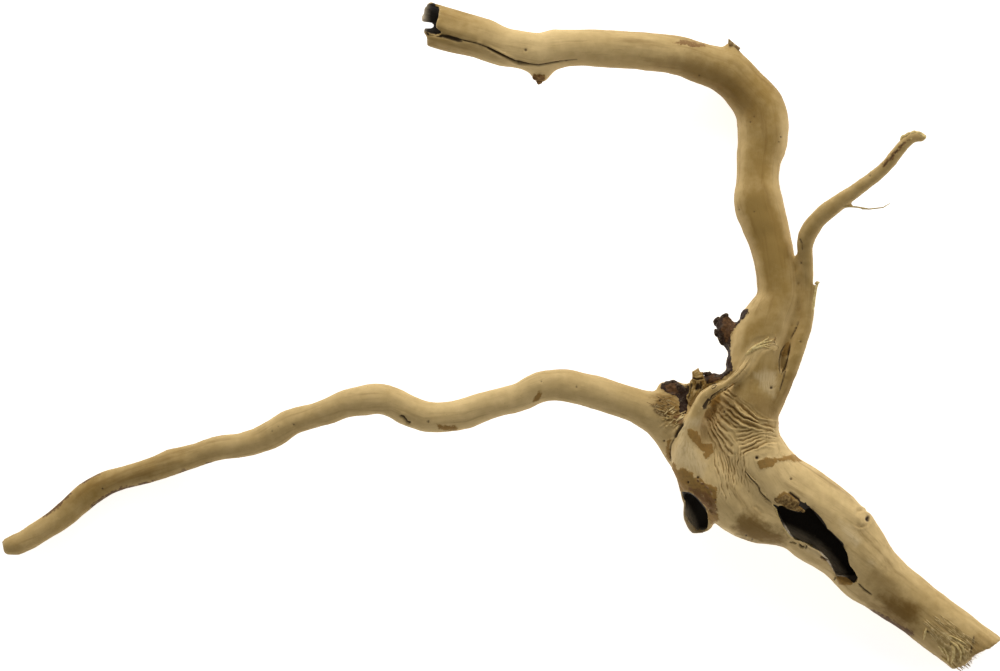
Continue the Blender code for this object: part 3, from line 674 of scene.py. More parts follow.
@dataclass
class Surface:
    """The points of a mesh as arrays, in millimetres."""

    mesh: bpy.types.Mesh
    places: Array = field(init=False)
    normals: Array = field(init=False)
    edges: Array = field(init=False)

    def __post_init__(self) -> None:
        """Reads the mesh."""
        self.read()

    def read(self) -> None:
        """Reads points, normals and edges from the mesh."""
        count = len(self.mesh.vertices)
        self.places = np.empty(count * 3)
        self.mesh.vertices.foreach_get("co", self.places)
        self.places = self.places.reshape(count, 3) / MM
        self.normals = np.empty(count * 3)
        self.mesh.vertices.foreach_get("normal", self.normals)
        self.normals = self.normals.reshape(count, 3)
        self.edges = np.empty(len(self.mesh.edges) * 2, np.int64)
        self.mesh.edges.foreach_get("vertices", self.edges)
        self.edges = self.edges.reshape(-1, 2)

    def write(self) -> None:
        """Writes the points back, and reads the normals that they give."""
        self.mesh.vertices.foreach_set("co", (self.places * MM).ravel())
        self.mesh.update()
        self.read()

    def around(self, values: Array) -> Array:
        """The mean of the neighbours' values at each point."""
        first, second = self.edges.T
        count = len(self.places)
        degree = np.maximum(np.bincount(first, minlength=count) + np.bincount(second, minlength=count), 1)
        columns = values.reshape(count, -1).T
        total = [
            np.bincount(first, column[second], count) + np.bincount(second, column[first], count)
            for column in columns
        ]
        return (np.array(total) / degree).T.reshape(values.shape)

    def smooth(self, passes: int, share: Array | float = 1.0) -> None:
        """Eases facets away without shrinking the shape.

        Args:
            passes: How many pairs of passes to run.
            share: How much of each pass every point takes.
        """
        weight = np.broadcast_to(share, len(self.places))[:, None]
        for factor in (0.5, -0.52) * passes:
            self.places += factor * weight * (self.around(self.places) - self.places)

    def hollowness(self) -> Array:
        """How sunken each point is, from -1 on sharp ridges to 1 in sharp valleys."""
        first, second = self.edges.T
        lengths = np.linalg.norm(self.places[first] - self.places[second], axis=1)
        count = len(self.places)
        spacing = (np.bincount(first, lengths, count) + np.bincount(second, lengths, count)) / np.maximum(
            np.bincount(first, minlength=count) + np.bincount(second, minlength=count), 1
        )
        lift = np.sum((self.around(self.places) - self.places) * self.normals, axis=1)
        bend = lift / np.maximum(spacing, 0.05) ** 2
        return np.clip(self.around(bend) * 1.2, -1.0, 1.0)

    def mark(self, name: str, values: Array) -> None:
        """Stores one number, or one vector, for every point under a name."""
        kind, key = ("FLOAT", "value") if values.ndim == 1 else ("FLOAT_VECTOR", "vector")
        layer = self.mesh.attributes.new(name, kind, "POINT")
        layer.data.foreach_set(key, values.astype(np.float32).ravel())


class ShaderSketch:
    """Adds nodes to a shader tree and joins them up."""

    def __init__(self, tree: bpy.types.NodeTree) -> None:
        """Starts on a tree."""
        self.tree = tree

    def node(self, kind: str, **settings: object) -> bpy.types.Node:
        """Adds a node and sets its properties."""
        made = self.tree.nodes.new(kind)
        for name, value in settings.items():
            setattr(made, name, value)
        return made

    def feed(self, socket: bpy.types.NodeSocket, value: object) -> None:
        """Joins a socket to another one, or sets its constant value."""
        if isinstance(value, bpy.types.NodeSocket):
            self.tree.links.new(value, socket)
        else:
            socket.default_value = value

    def value(self, operation: str, *inputs: object, clamp: bool = False) -> bpy.types.NodeSocket:
        """One step of arithmetic."""
        made = self.node("ShaderNodeMath", operation=operation, use_clamp=clamp)
        for socket, given in zip(made.inputs, inputs):
            self.feed(socket, given)
        return made.outputs[0]

    def scaled(self, vector: bpy.types.NodeSocket, factors: tuple[float, float, float]) -> bpy.types.NodeSocket:
        """A vector multiplied axis by axis."""
        made = self.node("ShaderNodeVectorMath", operation="MULTIPLY")
        self.feed(made.inputs[0], vector)
        self.feed(made.inputs[1], factors)
        return made.outputs[0]

    def noise(self, vector: bpy.types.NodeSocket, scale: object, detail: float = 3.0, rough: float = 0.55) -> bpy.types.NodeSocket:
        """Smooth noise from 0 to 1."""
        made = self.node("ShaderNodeTexNoise")
        self.feed(made.inputs["Vector"], vector)
        self.feed(made.inputs["Scale"], scale)
        self.feed(made.inputs["Detail"], detail)
        self.feed(made.inputs["Roughness"], rough)
        return made.outputs[0]

    def step(self, value: object, low: object, high: object, bottom: float = 0.0, top: float = 1.0) -> bpy.types.NodeSocket:
        """A smooth step between two values."""
        made = self.node("ShaderNodeMapRange", interpolation_type="SMOOTHSTEP", clamp=True)
        for name, given in (("Value", value), ("From Min", low), ("From Max", high), ("To Min", bottom), ("To Max", top)):
            self.feed(made.inputs[name], given)
        return made.outputs[0]

    def blend(self, share: object, first: object, second: object, mode: str = "MIX") -> bpy.types.NodeSocket:
        """A mix of two colours."""
        made = self.node("ShaderNodeMix", data_type="RGBA", blend_type=mode)
        factor, colour_a, colour_b, result = made.inputs[0], made.inputs[6], made.inputs[7], made.outputs[2]
        self.feed(factor, share)
        self.feed(colour_a, first)
        self.feed(colour_b, second)
        return result

    def mark(self, name: str, output: str = "Fac") -> bpy.types.NodeSocket:
        """A value that the mesh stores under a name."""
        return self.node("ShaderNodeAttribute", attribute_type="GEOMETRY", attribute_name=name).outputs[output]

    def group(self, tree: bpy.types.NodeTree, **inputs: object) -> bpy.types.NodeSocket:
        """A shared effect with its inputs set."""
        made = self.node("ShaderNodeGroup", node_tree=tree)
        for name, given in inputs.items():
            self.feed(made.inputs[name], given)
        return made.outputs[0]


@dataclass(frozen=True)
class Effects:
    """Shader effects that several finishes share.

    Attributes:
        streaks: Long fine streaks that follow the grain.
        ragged: The inside of a patch, with a frayed edge.
    """

    streaks: bpy.types.NodeTree
    ragged: bpy.types.NodeTree

    @classmethod
    def build(cls) -> "Effects":
        """Builds each effect once."""
        return cls(cls._streaks(), cls._ragged())

    @staticmethod
    def _open(name: str, inputs: dict[str, str], output: str) -> tuple[ShaderSketch, dict, bpy.types.NodeSocket]:
        """Starts a group with these inputs and one output."""
        tree = bpy.data.node_groups.new(name, "ShaderNodeTree")
        for label, kind in inputs.items():
            tree.interface.new_socket(label, in_out="INPUT", socket_type=kind)
        tree.interface.new_socket(output, in_out="OUTPUT", socket_type="NodeSocketFloat")
        sketch = ShaderSketch(tree)
        entry = sketch.node("NodeGroupInput")
        leave = sketch.node("NodeGroupOutput")
        return sketch, {label: entry.outputs[label] for label in inputs}, leave.inputs[output]

    @classmethod
    def _streaks(cls) -> bpy.types.NodeTree:
        """Noise drawn out along the grain; Fineness is in streaks for a millimetre."""
        sketch, given, result = cls._open(
            "grain_streaks", {"Grain": "NodeSocketVector", "Fineness": "NodeSocketFloat"}, "Value"
        )
        drawn = sketch.scaled(given["Grain"], (0.05, 1.0, 1.0))
        sketch.feed(result, sketch.noise(drawn, given["Fineness"], 3.0, 0.6))
        return sketch.tree

    @classmethod
    def _ragged(cls) -> bpy.types.NodeTree:
        """Turns a depth inside a patch, in pixels, into a mask with a frayed edge."""
        numbers = {name: "NodeSocketFloat" for name in ("Depth", "Fray", "Soft", "Fineness")}
        sketch, given, result = cls._open("ragged_edge", numbers | {"Place": "NodeSocketVector"}, "Value")
        coarse = sketch.noise(given["Place"], given["Fineness"], 4.0, 0.65)
        swing = sketch.value("MULTIPLY", sketch.value("SUBTRACT", coarse, 0.5), given["Fray"])
        moved = sketch.value("ADD", given["Depth"], sketch.value("MULTIPLY", swing, 2.0))
        sketch.feed(result, sketch.step(moved, sketch.value("MULTIPLY", given["Soft"], -1.0), given["Soft"]))
        return sketch.tree


@dataclass(frozen=True)
class Layer:
    """How one kind of mark is laid over the wood.

    Attributes:
        hue: The kind of mark.
        strength: How much it covers.
        fray: How far its edge strays, in pixels.
        soft: How soft its edge is, in pixels.
        fineness: How many swings of the edge fit in a metre.
    """

    hue: Hue
    strength: float
    fray: float
    soft: float = 0.4
    fineness: float = 620.0


@dataclass(frozen=True)
class PaleWood:
    """Sun-dried, barkless wood with everything that is stained on it, with painted shade in its creases, cracks and
    hollows, painted highlights on its ridges and painted light on some limb sides.

    Attributes:
        pale: Bleached wood.
        light: The pale tone.
        tan: The common tone.
        dusk: Darker wood for the grain's streaks and flecks, and for the painted shade in creases.
        roughness: How dull it is.
    """

    pale: Colour = (0.8, 0.63, 0.36, 1.0)
    light: Colour = (0.75, 0.545, 0.25, 1.0)
    tan: Colour = (0.335, 0.208, 0.056, 1.0)
    dusk: Colour = (0.22, 0.122, 0.028, 1.0)
    thin_bark: Colour = (0.33, 0.175, 0.038, 1.0)
    red_bark: Colour = (0.21, 0.1, 0.036, 1.0)
    ember: Colour = (0.092, 0.042, 0.014, 1.0)
    dark_bark: Colour = (0.034, 0.016, 0.008, 1.0)
    # Grey dust on the dark bark, which also serves as its painted highlights.
    bark_dust_and_highlight: Colour = (0.12, 0.088, 0.056, 1.0)
    golden: Colour = (0.28, 0.168, 0.042, 1.0)
    stain: Colour = (0.2, 0.105, 0.018, 1.0)
    # Painted shade on the inner wall of the lobe's hollow.
    hollow_wall_shade: Colour = (0.2, 0.15, 0.08, 1.0)
    # Painted shade for the inside of the hollows.
    deep: Colour = (0.03, 0.023, 0.015, 1.0)
    inner: Colour = (0.72, 0.59, 0.41, 1.0)
    # Painted shade for cracks and pits.
    crevice: Colour = (0.04, 0.023, 0.011, 1.0)
    roughness: float = 0.62
    layers: tuple[Layer, ...] = (
        Layer(Hue.BLEACHED, 0.5, 4.5, 4.5, 260.0),
        Layer(Hue.SHADE, 0.5, 10.0, 8.0, 220.0),
        Layer(Hue.STAIN, 0.85, 10.0, 6.5, 300.0),
        Layer(Hue.HOLLOW_WALL_SHADE, 0.8, 3.0, 1.5),
        Layer(Hue.THIN_BARK, 0.92, 4.4, 0.8, 380.0),
        Layer(Hue.RED_BARK, 0.85, 4.5, 0.8),
        Layer(Hue.GOLDEN, 1.0, 1.5),
        Layer(Hue.DARK_BARK, 1.0, 2.0),
        Layer(Hue.EMBER, 0.9, 4.5, 1.0),
    )

    def material(self, effects: Effects) -> bpy.types.Material:
        """Builds the material.

        Args:
            effects: The shared shader effects.

        Returns:
            The finished material.
        """
        material = bpy.data.materials.new("pale_wood")
        material.use_nodes = True
        sketch = ShaderSketch(material.node_tree)
        shader = material.node_tree.nodes["Principled BSDF"]
        place = sketch.node("ShaderNodeTexCoord").outputs["Object"]
        grain = sketch.mark("grain", "Vector")
        fine = sketch.group(effects.streaks, Grain=grain, Fineness=1.6)
        broad = sketch.group(effects.streaks, Grain=grain, Fineness=0.35)
        cloud = sketch.noise(place, 42.0, 3.0, 0.6)
        fleck = sketch.noise(place, 900.0, 2.0, 0.6)
        sunken = sketch.mark("sunken")

        mottle = sketch.noise(place, 260.0, 3.0, 0.6)
        drift = sketch.value("ADD", sketch.value("MULTIPLY", cloud, 0.7), sketch.value("MULTIPLY", mottle, 0.55))
        paleness = sketch.value("ADD", sketch.mark("pale"), sketch.value("SUBTRACT", drift, 0.66), clamp=True)
        tone = sketch.blend(paleness, self.tan, self.light)
        tone = sketch.blend(sketch.step(broad, 0.52, 0.74, 0.0, 0.45), tone, self.dusk)
        tone = sketch.blend(sketch.step(fine, 0.56, 0.8, 0.0, 0.3), tone, self.dusk)
        tone = sketch.blend(sketch.step(fleck, 0.68, 0.8, 0.0, 0.35), tone, self.dusk)
        # Painted highlight on ridges and painted shade in creases, from how sunken the skin is.
        tone = sketch.blend(sketch.step(sketch.value("MULTIPLY", sunken, -1.0), 0.08, 0.7, 0.0, 0.55), tone, self.light)
        tone = sketch.blend(sketch.step(sunken, 0.05, 0.75, 0.0, 0.75), tone, self.dusk)
        for layer in self.layers:
            mask = sketch.group(
                effects.ragged, Depth=sketch.mark(layer.hue.value), Place=place, Fray=layer.fray, Soft=layer.soft,
                Fineness=layer.fineness,
            )
            mask = sketch.value("MULTIPLY", mask, layer.strength)
            tone = sketch.blend(mask, tone, self._patch(sketch, layer.hue, fine, fleck, sunken, place))
        # Painted shade: inside the hollows the wood is coloured near black, apart from the walls that catch light.
        lit = sketch.value("MULTIPLY", sketch.mark("lit"), sketch.step(fine, 0.3, 0.62, 0.55, 1.0))
        cave = sketch.blend(lit, self.deep, self.inner)
        tone = sketch.blend(sketch.step(sketch.mark("hollow"), 0.12, 0.3), tone, cave)
        # Painted shade: cracks and pits are coloured near black.
        for name, width in (("crack", 0.7), ("pit", 0.9)):
            edge = sketch.step(sketch.mark(name), -width, width, 0.0, 0.93)
            tone = sketch.blend(edge, tone, self.crevice)
        sketch.feed(shader.inputs["Base Color"], tone)
        shader.inputs["Roughness"].default_value = self.roughness
        shader.inputs["Specular IOR Level"].default_value = 0.14

        rough = sketch.value("ADD", sketch.value("MULTIPLY", fine, 0.6), sketch.value("MULTIPLY", fleck, 0.4))
        bump = sketch.node("ShaderNodeBump")
        sketch.feed(bump.inputs["Strength"], 0.55)
        sketch.feed(bump.inputs["Distance"], 0.18 * MM)
        sketch.feed(bump.inputs["Height"], rough)
        sketch.feed(shader.inputs["Normal"], bump.outputs["Normal"])
        return material

    def _patch(self, sketch: ShaderSketch, hue: Hue, fine: object, fleck: object, sunken: object, place: object) -> object:
        """The colour of one kind of patch, with its own mottling."""
        if hue is Hue.BLEACHED:
            return sketch.blend(sketch.step(fine, 0.3, 0.6, 0.4, 1.0), self.tan, self.pale)
        if hue is Hue.DARK_BARK:
            # Grey dust mottles on the dark bark, also standing in for painted highlights.
            dust_and_highlight = sketch.step(sketch.noise(place, 700.0, 4.0, 0.7), 0.5, 0.72, 0.0, 0.9)
            return sketch.blend(dust_and_highlight, self.dark_bark, self.bark_dust_and_highlight)
        if hue is Hue.GOLDEN:
            # Painted shade: the golden patch turns to the stain colour where the skin is sunken.
            shade = sketch.step(sunken, 0.0, 0.6)
            lit = sketch.blend(sketch.step(fine, 0.45, 0.62, 0.0, 0.5), self.golden, self.light)
            return sketch.blend(shade, lit, self.stain)
        base = {
            Hue.THIN_BARK: self.thin_bark, Hue.RED_BARK: self.red_bark, Hue.EMBER: self.ember, Hue.STAIN: self.stain,
            Hue.SHADE: self.stain, Hue.HOLLOW_WALL_SHADE: self.hollow_wall_shade,
        }[hue]
        flecks = self.red_bark if hue is Hue.EMBER else self.dusk
        mottled = sketch.blend(sketch.step(fleck, 0.42, 0.7, 0.0, 0.7), base, flecks)
        worn = sketch.step(fine, 0.5, 0.75, 0.0, 0.35)
        if hue is Hue.THIN_BARK:
            worn = sketch.value("MAXIMUM", worn, sketch.step(sketch.noise(place, 340.0, 3.0, 0.7), 0.5, 0.66, 0.0, 0.4))
        if hue is Hue.EMBER:
            worn = sketch.step(fine, 0.55, 0.8, 0.0, 0.12)
        return sketch.blend(worn, mottled, self.tan)


@dataclass(frozen=True)
class FlatFinish:
    """A plain dull finish with fine mottling, for a small loose piece.

    Attributes:
        name: The material's name.
        dark: Its darker tone.
        pale: Its paler tone.
        size: How many mottles fit in a metre.
        roughness: How dull it is.
    """

    name: str
    dark: Colour
    pale: Colour
    size: float = 900.0
    roughness: float = 0.7

    def material(self) -> bpy.types.Material:
        """Builds the material."""
        material = bpy.data.materials.new(self.name)
        material.use_nodes = True
        sketch = ShaderSketch(material.node_tree)
        shader = material.node_tree.nodes["Principled BSDF"]
        place = sketch.node("ShaderNodeTexCoord").outputs["Object"]
        mottle = sketch.noise(place, self.size, 4.0, 0.65)
        sketch.feed(shader.inputs["Base Color"], sketch.blend(sketch.step(mottle, 0.38, 0.66), self.dark, self.pale))
        shader.inputs["Roughness"].default_value = self.roughness
        shader.inputs["Specular IOR Level"].default_value = 0.14
        bump = sketch.node("ShaderNodeBump")
        sketch.feed(bump.inputs["Strength"], 0.6)
        sketch.feed(bump.inputs["Distance"], 0.2 * MM)
        sketch.feed(bump.inputs["Height"], mottle)
        sketch.feed(shader.inputs["Normal"], bump.outputs["Normal"])
        return material


@dataclass
class MeshSketch:
    """Collects the points and faces of a small piece, in millimetres."""

    points: list[Vector] = field(default_factory=list)
    faces: list[tuple[int, ...]] = field(default_factory=list)

    def tube(self, stations: list[tuple[Vector, float]], sides: int = 6, flat: float = 1.0, jitter: float = 0.0, seed: int = 0) -> None:
        """Adds a closed tube, round or flattened upwards.

        Args:
            stations: The middle and the radius along the tube.
            sides: How many sides it has.
            flat: Its height as a share of its width.
            jitter: How far each point strays, as a share of the radius.
            seed: Draws another stray.
        """
        rng = np.random.default_rng(seed)
        first = len(self.points)
        count = len(stations)
        for index, (middle, radius) in enumerate(stations):
            before, after = stations[max(index - 1, 0)][0], stations[min(index + 1, count - 1)][0]
            along = (after - before).normalized()
            side = along.cross(Vector((0, 0, 1)))
            side = side.normalized() if side.length > 1e-4 else Vector((1, 0, 0))
            up = side.cross(along)
            for turn in range(sides):
                angle = math.tau * turn / sides
                reach = radius * (1.0 + jitter * rng.uniform(-1.0, 1.0))
                self.points.append(middle + side * math.cos(angle) * reach + up * math.sin(angle) * reach * flat)
        for index in range(count - 1):
            low, high = first + index * sides, first + (index + 1) * sides
            for turn in range(sides):
                other = (turn + 1) % sides
                self.faces.append((low + turn, low + other, high + other, high + turn))
        self.faces.append(tuple(first + turn for turn in reversed(range(sides))))
        self.faces.append(tuple(first + (count - 1) * sides + turn for turn in range(sides)))

    def lump(self, centre: Vector, radii: tuple[float, float, float], turn: float, rough: float, seed: int, rings: int = 10) -> None:
        """Adds a rough closed lump.

        Args:
            centre: Its middle.
            radii: Its half sizes along, across and up.
            turn: Its heading seen from above, in radians.
            rough: How far its surface strays, in millimetres.
            seed: Draws another shape.
            rings: How many rings of points it has.
        """
        first = len(self.points)
        sides = rings * 2
        shape = [Vector((0, 0, -1))]
        for ring in range(1, rings):
            tilt = math.pi * ring / rings - math.pi / 2
            shape += [
                Vector((math.cos(tilt) * math.cos(math.tau * side / sides), math.cos(tilt) * math.sin(math.tau * side / sides), math.sin(tilt)))
                for side in range(sides)
            ]
        shape.append(Vector((0, 0, 1)))
        stray = Noise(seed, 1.6, 3).sample(np.array([[p.x * radii[0], p.y * radii[1], p.z * radii[2]] for p in shape]) + seed * 3.1)
        cosine, sine = math.cos(turn), math.sin(turn)
        for point, swing in zip(shape, stray):
            x, y, z = (point[axis] * (radii[axis] + rough * swing * 2.0) for axis in range(3))
            self.points.append(centre + Vector((x * cosine - y * sine, x * sine + y * cosine, z)))
        last = first + 1 + (rings - 1) * sides
        for side in range(sides):
            other = (side + 1) % sides
            self.faces.append((first, first + 1 + other, first + 1 + side))
            self.faces.append((last, last - sides + side, last - sides + other))
            for ring in range(rings - 2):
                low = first + 1 + ring * sides
                self.faces.append((low + side, low + other, low + sides + other, low + sides + side))

    def add_to(self, work: bmesh.types.BMesh) -> None:
        """Adds the shapes to a mesh that is being edited."""
        corners = [work.verts.new(point * MM) for point in self.points]
        for face in self.faces:
            work.faces.new([corners[index] for index in face])

    def build(self, name: str, material: bpy.types.Material) -> bpy.types.Object:
        """Makes the piece, lets it ride on the wood and gives it its finish."""
        mesh = bpy.data.meshes.new(name)
        mesh.from_pydata([point * MM for point in self.points], [], self.faces)
        mesh.validate()
        mesh.shade_smooth()
        mesh.materials.append(material)
        made = bpy.data.objects.new(name, mesh)
        bpy.context.scene.collection.objects.link(made)
        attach(made, BODY)
        return made


@dataclass
class WoodSkin:
    """The whole of the wood's surface.

    Attributes:
        spacing: Distance between its points before closer areas are refined, in millimetres.
        easing: Pairs of smoothing passes that take the solid's facets away.
        lump_height: Height of its slow lumps, in millimetres.
        flute_height: Height of its long flutes, in millimetres.
        crumble: Height of the roughness on broken bark, in millimetres.
        most_triangles: How many triangles the finished skin may have.
    """

    spacing: float = 1.0
    easing: int = 14
    lump_height: float = 0.28
    flute_height: float = 0.16
    crumble: float = 0.9
    most_triangles: int = 194_000

    def build(self, node: bpy.types.Object, material: bpy.types.Material) -> bpy.types.Object:
        """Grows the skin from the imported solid.

        Args:
            node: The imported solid.
            material: The wood's finish.

        Returns:
            The finished skin.
        """
        mesh = self._close_knit(node)
        surface = Surface(mesh)
        surface.smooth(self.easing)
        surface.write()
        for outlines, seen in ((CLOSE_AREAS, 0.0), (CLOSEST_AREAS, 0.1)):
            self._refine(mesh, outlines, seen)
            surface = Surface(mesh)
            surface.smooth(1)
            surface.write()
        seen_at = PICTURE.project(surface.places)
        upper = ease_between(-0.12, 0.12, surface.normals[:, 2])
        marks = self._paint(surface, seen_at, upper)
        rise = self._relief(surface, seen_at, upper, marks)
        sunk = self._sunk_end(surface.places)
        surface.places += surface.normals * rise[:, None]
        surface.places[:, 2] = np.maximum(surface.places[:, 2] - sunk, 0.0)
        surface.write()
        marks["sunken"] = surface.hollowness()
        for name, values in marks.items():
            surface.mark(name, values)
        mesh.shade_smooth()
        mesh = self._thinned(mesh)
        mesh.materials.clear()
        mesh.materials.append(material)
        made = bpy.data.objects.new("wood_skin", mesh)
        bpy.context.scene.collection.objects.link(made)
        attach(made, BODY)
        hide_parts(NODE)
        return made

    def _close_knit(self, node: bpy.types.Object) -> bpy.types.Mesh:
        """A copy of the solid as one even, close-knit mesh."""
        mesh = bpy.data.meshes.new("wood_skin_base")
        work = bmesh.new()
        work.from_mesh(node.data)
        filling = MeshSketch()
        for stations in FILLINGS:
            filling.tube([(Vector(station[:3]), station[3]) for station in stations], 16)
        filling.add_to(work)
        bmesh.ops.remove_doubles(work, verts=work.verts, dist=0.01 * MM)
        work.to_mesh(mesh)
        work.free()
        holder = bpy.data.objects.new("wood_skin_base", mesh)
        bpy.context.scene.collection.objects.link(holder)
        remesh = holder.modifiers.new("even", "REMESH")
        remesh.mode = "VOXEL"
        remesh.voxel_size = self.spacing * MM
        bpy.context.view_layer.update()
        graph = bpy.context.evaluated_depsgraph_get()
        even = bpy.data.meshes.new_from_object(holder.evaluated_get(graph))
        bpy.data.objects.remove(holder)
        self._drop_scraps(even)
        return even

    def _thinned(self, mesh: bpy.types.Mesh) -> bpy.types.Mesh:
        """The skin with its smoothest places joined into fewer triangles, its marks kept."""
        sides = np.empty(len(mesh.polygons), np.int32)
        mesh.polygons.foreach_get("loop_total", sides)
        holder = bpy.data.objects.new("wood_skin_dense", mesh)
        bpy.context.scene.collection.objects.link(holder)
        fewer = holder.modifiers.new("fewer", "DECIMATE")
        fewer.ratio = min(1.0, self.most_triangles / int(np.sum(sides - 2)))
        bpy.context.view_layer.update()
        graph = bpy.context.evaluated_depsgraph_get()
        thinned = bpy.data.meshes.new_from_object(holder.evaluated_get(graph))
        bpy.data.objects.remove(holder)
        return thinned

    def _drop_scraps(self, mesh: bpy.types.Mesh) -> None:
        """Keeps only the largest connected body of a mesh."""
        count = len(mesh.vertices)
        edges = np.empty(len(mesh.edges) * 2, np.int64)
        mesh.edges.foreach_get("vertices", edges)
        first, second = edges.reshape(-1, 2).T
        label = np.arange(count)
        while True:
            lowest = np.minimum(label[first], label[second])
            fresh = label.copy()
            np.minimum.at(fresh, first, lowest)
            np.minimum.at(fresh, second, lowest)
            fresh = fresh[fresh]
            if np.array_equal(fresh, label):
                break
            label = fresh
        names, sizes = np.unique(label, return_counts=True)
        scraps = np.flatnonzero(label != names[np.argmax(sizes)])
        if len(scraps):
            work = bmesh.new()
            work.from_mesh(mesh)
            work.verts.ensure_lookup_table()
            bmesh.ops.delete(work, geom=[work.verts[int(index)] for index in scraps], context="VERTS")
            work.to_mesh(mesh)
            work.free()

    def _refine(self, mesh: bpy.types.Mesh, outlines: list[Route], lowest: float) -> None:
        """Halves the faces that the camera sees inside the outlines."""
        count = len(mesh.polygons)
        centres = np.empty(count * 3)
        mesh.polygons.foreach_get("center", centres)
        normals = np.empty(count * 3)
        mesh.polygons.foreach_get("normal", normals)
        points = PICTURE.project(centres.reshape(count, 3) / MM)
        inside = np.zeros(count, bool)
        for outline in outlines:
            inside |= patch_depth(points, outline) > 0.0
        inside &= normals.reshape(count, 3)[:, 2] > lowest
        work = bmesh.new()
        work.from_mesh(mesh)
        work.faces.ensure_lookup_table()
        edges = {edge for index in np.flatnonzero(inside) for edge in work.faces[int(index)].edges}
        bmesh.ops.subdivide_edges(work, edges=list(edges), cuts=1, use_grid_fill=True)
        work.to_mesh(mesh)
        work.free()

    def _paint(self, surface: Surface, seen_at: Array, upper: Array) -> dict[str, Array]:
        """Works out where each kind of mark lies on the skin."""
        marks: dict[str, Array] = {}
        hidden = (1.0 - upper) * 40.0
        for hue, outlines in PATCHES.items():
            depth = np.full(len(seen_at), -12.0)
            for outline in outlines:
                depth = np.maximum(depth, patch_depth(seen_at, outline))
            if hue is Hue.EMBER:
                depth = depth - ease_between(0.3, -0.5, surface.normals[:, 2]) * 5.0
            wraps = hue in (Hue.DARK_BARK, Hue.EMBER, Hue.GOLDEN)
            marks[hue.value] = depth - (ease_between(-0.5, -0.8, surface.normals[:, 2]) * 40.0 if wraps else hidden)
        gap = np.full(len(seen_at), 1e9)
        second = gap.copy()
        grain = np.zeros((len(seen_at), 3))
        weight, tone = np.zeros(len(seen_at)), np.zeros(len(seen_at))
        # Painted light: the steep sides of the limbs, up to about 100 mm in y, are painted paler.
        sides = ease_between(0.95, 0.5, surface.normals[:, 2]) * ease_between(100.0, 84.0, surface.places[:, 1])
        for offset, (name, stations) in enumerate(AXES.items()):
            away, along, pale = Limb(stations).measure(surface.places)
            share = np.exp(-np.clip(away, -4.0, 40.0) / 1.5)
            side_light = PAINTED_SIDE_LIGHT.get(name, 0.0) * sides
            weight, tone = weight + share, tone + share * np.clip(pale + side_light, 0.0, 1.0)
            second = np.minimum(second, np.maximum(gap, away))
            nearer = away < gap
            gap = np.where(nearer, away, gap)
            grain = np.where(nearer[:, None], along + 300.0 * offset, grain)
        marks["grain"] = grain
        marks["_blend"] = ease_between(0.0, 3.0, second - gap)
        marks["crack"] = self._lines(seen_at, CRACKS) - hidden
        pit = np.full(len(seen_at), -12.0)
        for x, y, radius in PITS:
            pit = np.maximum(pit, radius / PIXEL - np.linalg.norm(seen_at - (x, y), axis=1))
        marks["pit"] = pit - hidden
        marks["hollow"] = self._hollows(surface, seen_at, upper)
        marks["lit"] = np.zeros(len(seen_at))
        for outline in LIT_WALLS:
            marks["lit"] = np.maximum(marks["lit"], ease_between(0.0, 9.0, patch_depth(seen_at, outline)))
        marks["pale"] = surface.around(surface.around(tone / weight))
        return marks

    def _lines(self, seen_at: Array, lines: list[Furrow]) -> Array:
        """How far inside the nearest line each point lies, in pixels, with the ends drawn in."""
        depth = np.full(len(seen_at), -12.0)
        for line in lines:
            away, share = along_route(seen_at, line.route, 12.0)
            taper = ease_between(0.0, 0.12, share) * ease_between(1.0, 0.88, share)
            depth = np.maximum(depth, line.width / PIXEL * (0.35 + 0.65 * taper) - away)
        return depth

    def _hollows(self, surface: Surface, seen_at: Array, upper: Array) -> Array:
        """How deep inside a hollow each point lies, from 0 outside to 1; it sets the painted shade there."""
        hollow = np.zeros(len(seen_at))
        for stations in ROOMS.values():
            line = np.array(stations, float)
            for start, end in zip(line[:-1], line[1:]):
                step = end[:3] - start[:3]
                share = np.clip((surface.places - start[:3]) @ step / (step @ step), 0.0, 1.0)
                offset = start[:3] + share[:, None] * step - surface.places
                away = np.linalg.norm(offset, axis=1)
                radius = start[3] + share * (end[3] - start[3])
                facing = np.sum(offset * surface.normals, axis=1) / np.maximum(away, 0.1)
                inside = ease_between(1.6, 0.2, away - radius) * ease_between(0.05, 0.3, facing)
                below = ease_between(-2.0, 5.0, offset[:, 2])
                hollow = np.maximum(hollow, inside * (0.35 + 0.65 * below))
        # Painted shade: what is seen inside a mouth counts as deep in the hollow.
        for outline in MOUTHS.values():
            hollow = np.maximum(hollow, 0.8 * ease_between(-0.6, 1.4, patch_depth(seen_at, outline)) * upper)
        return hollow

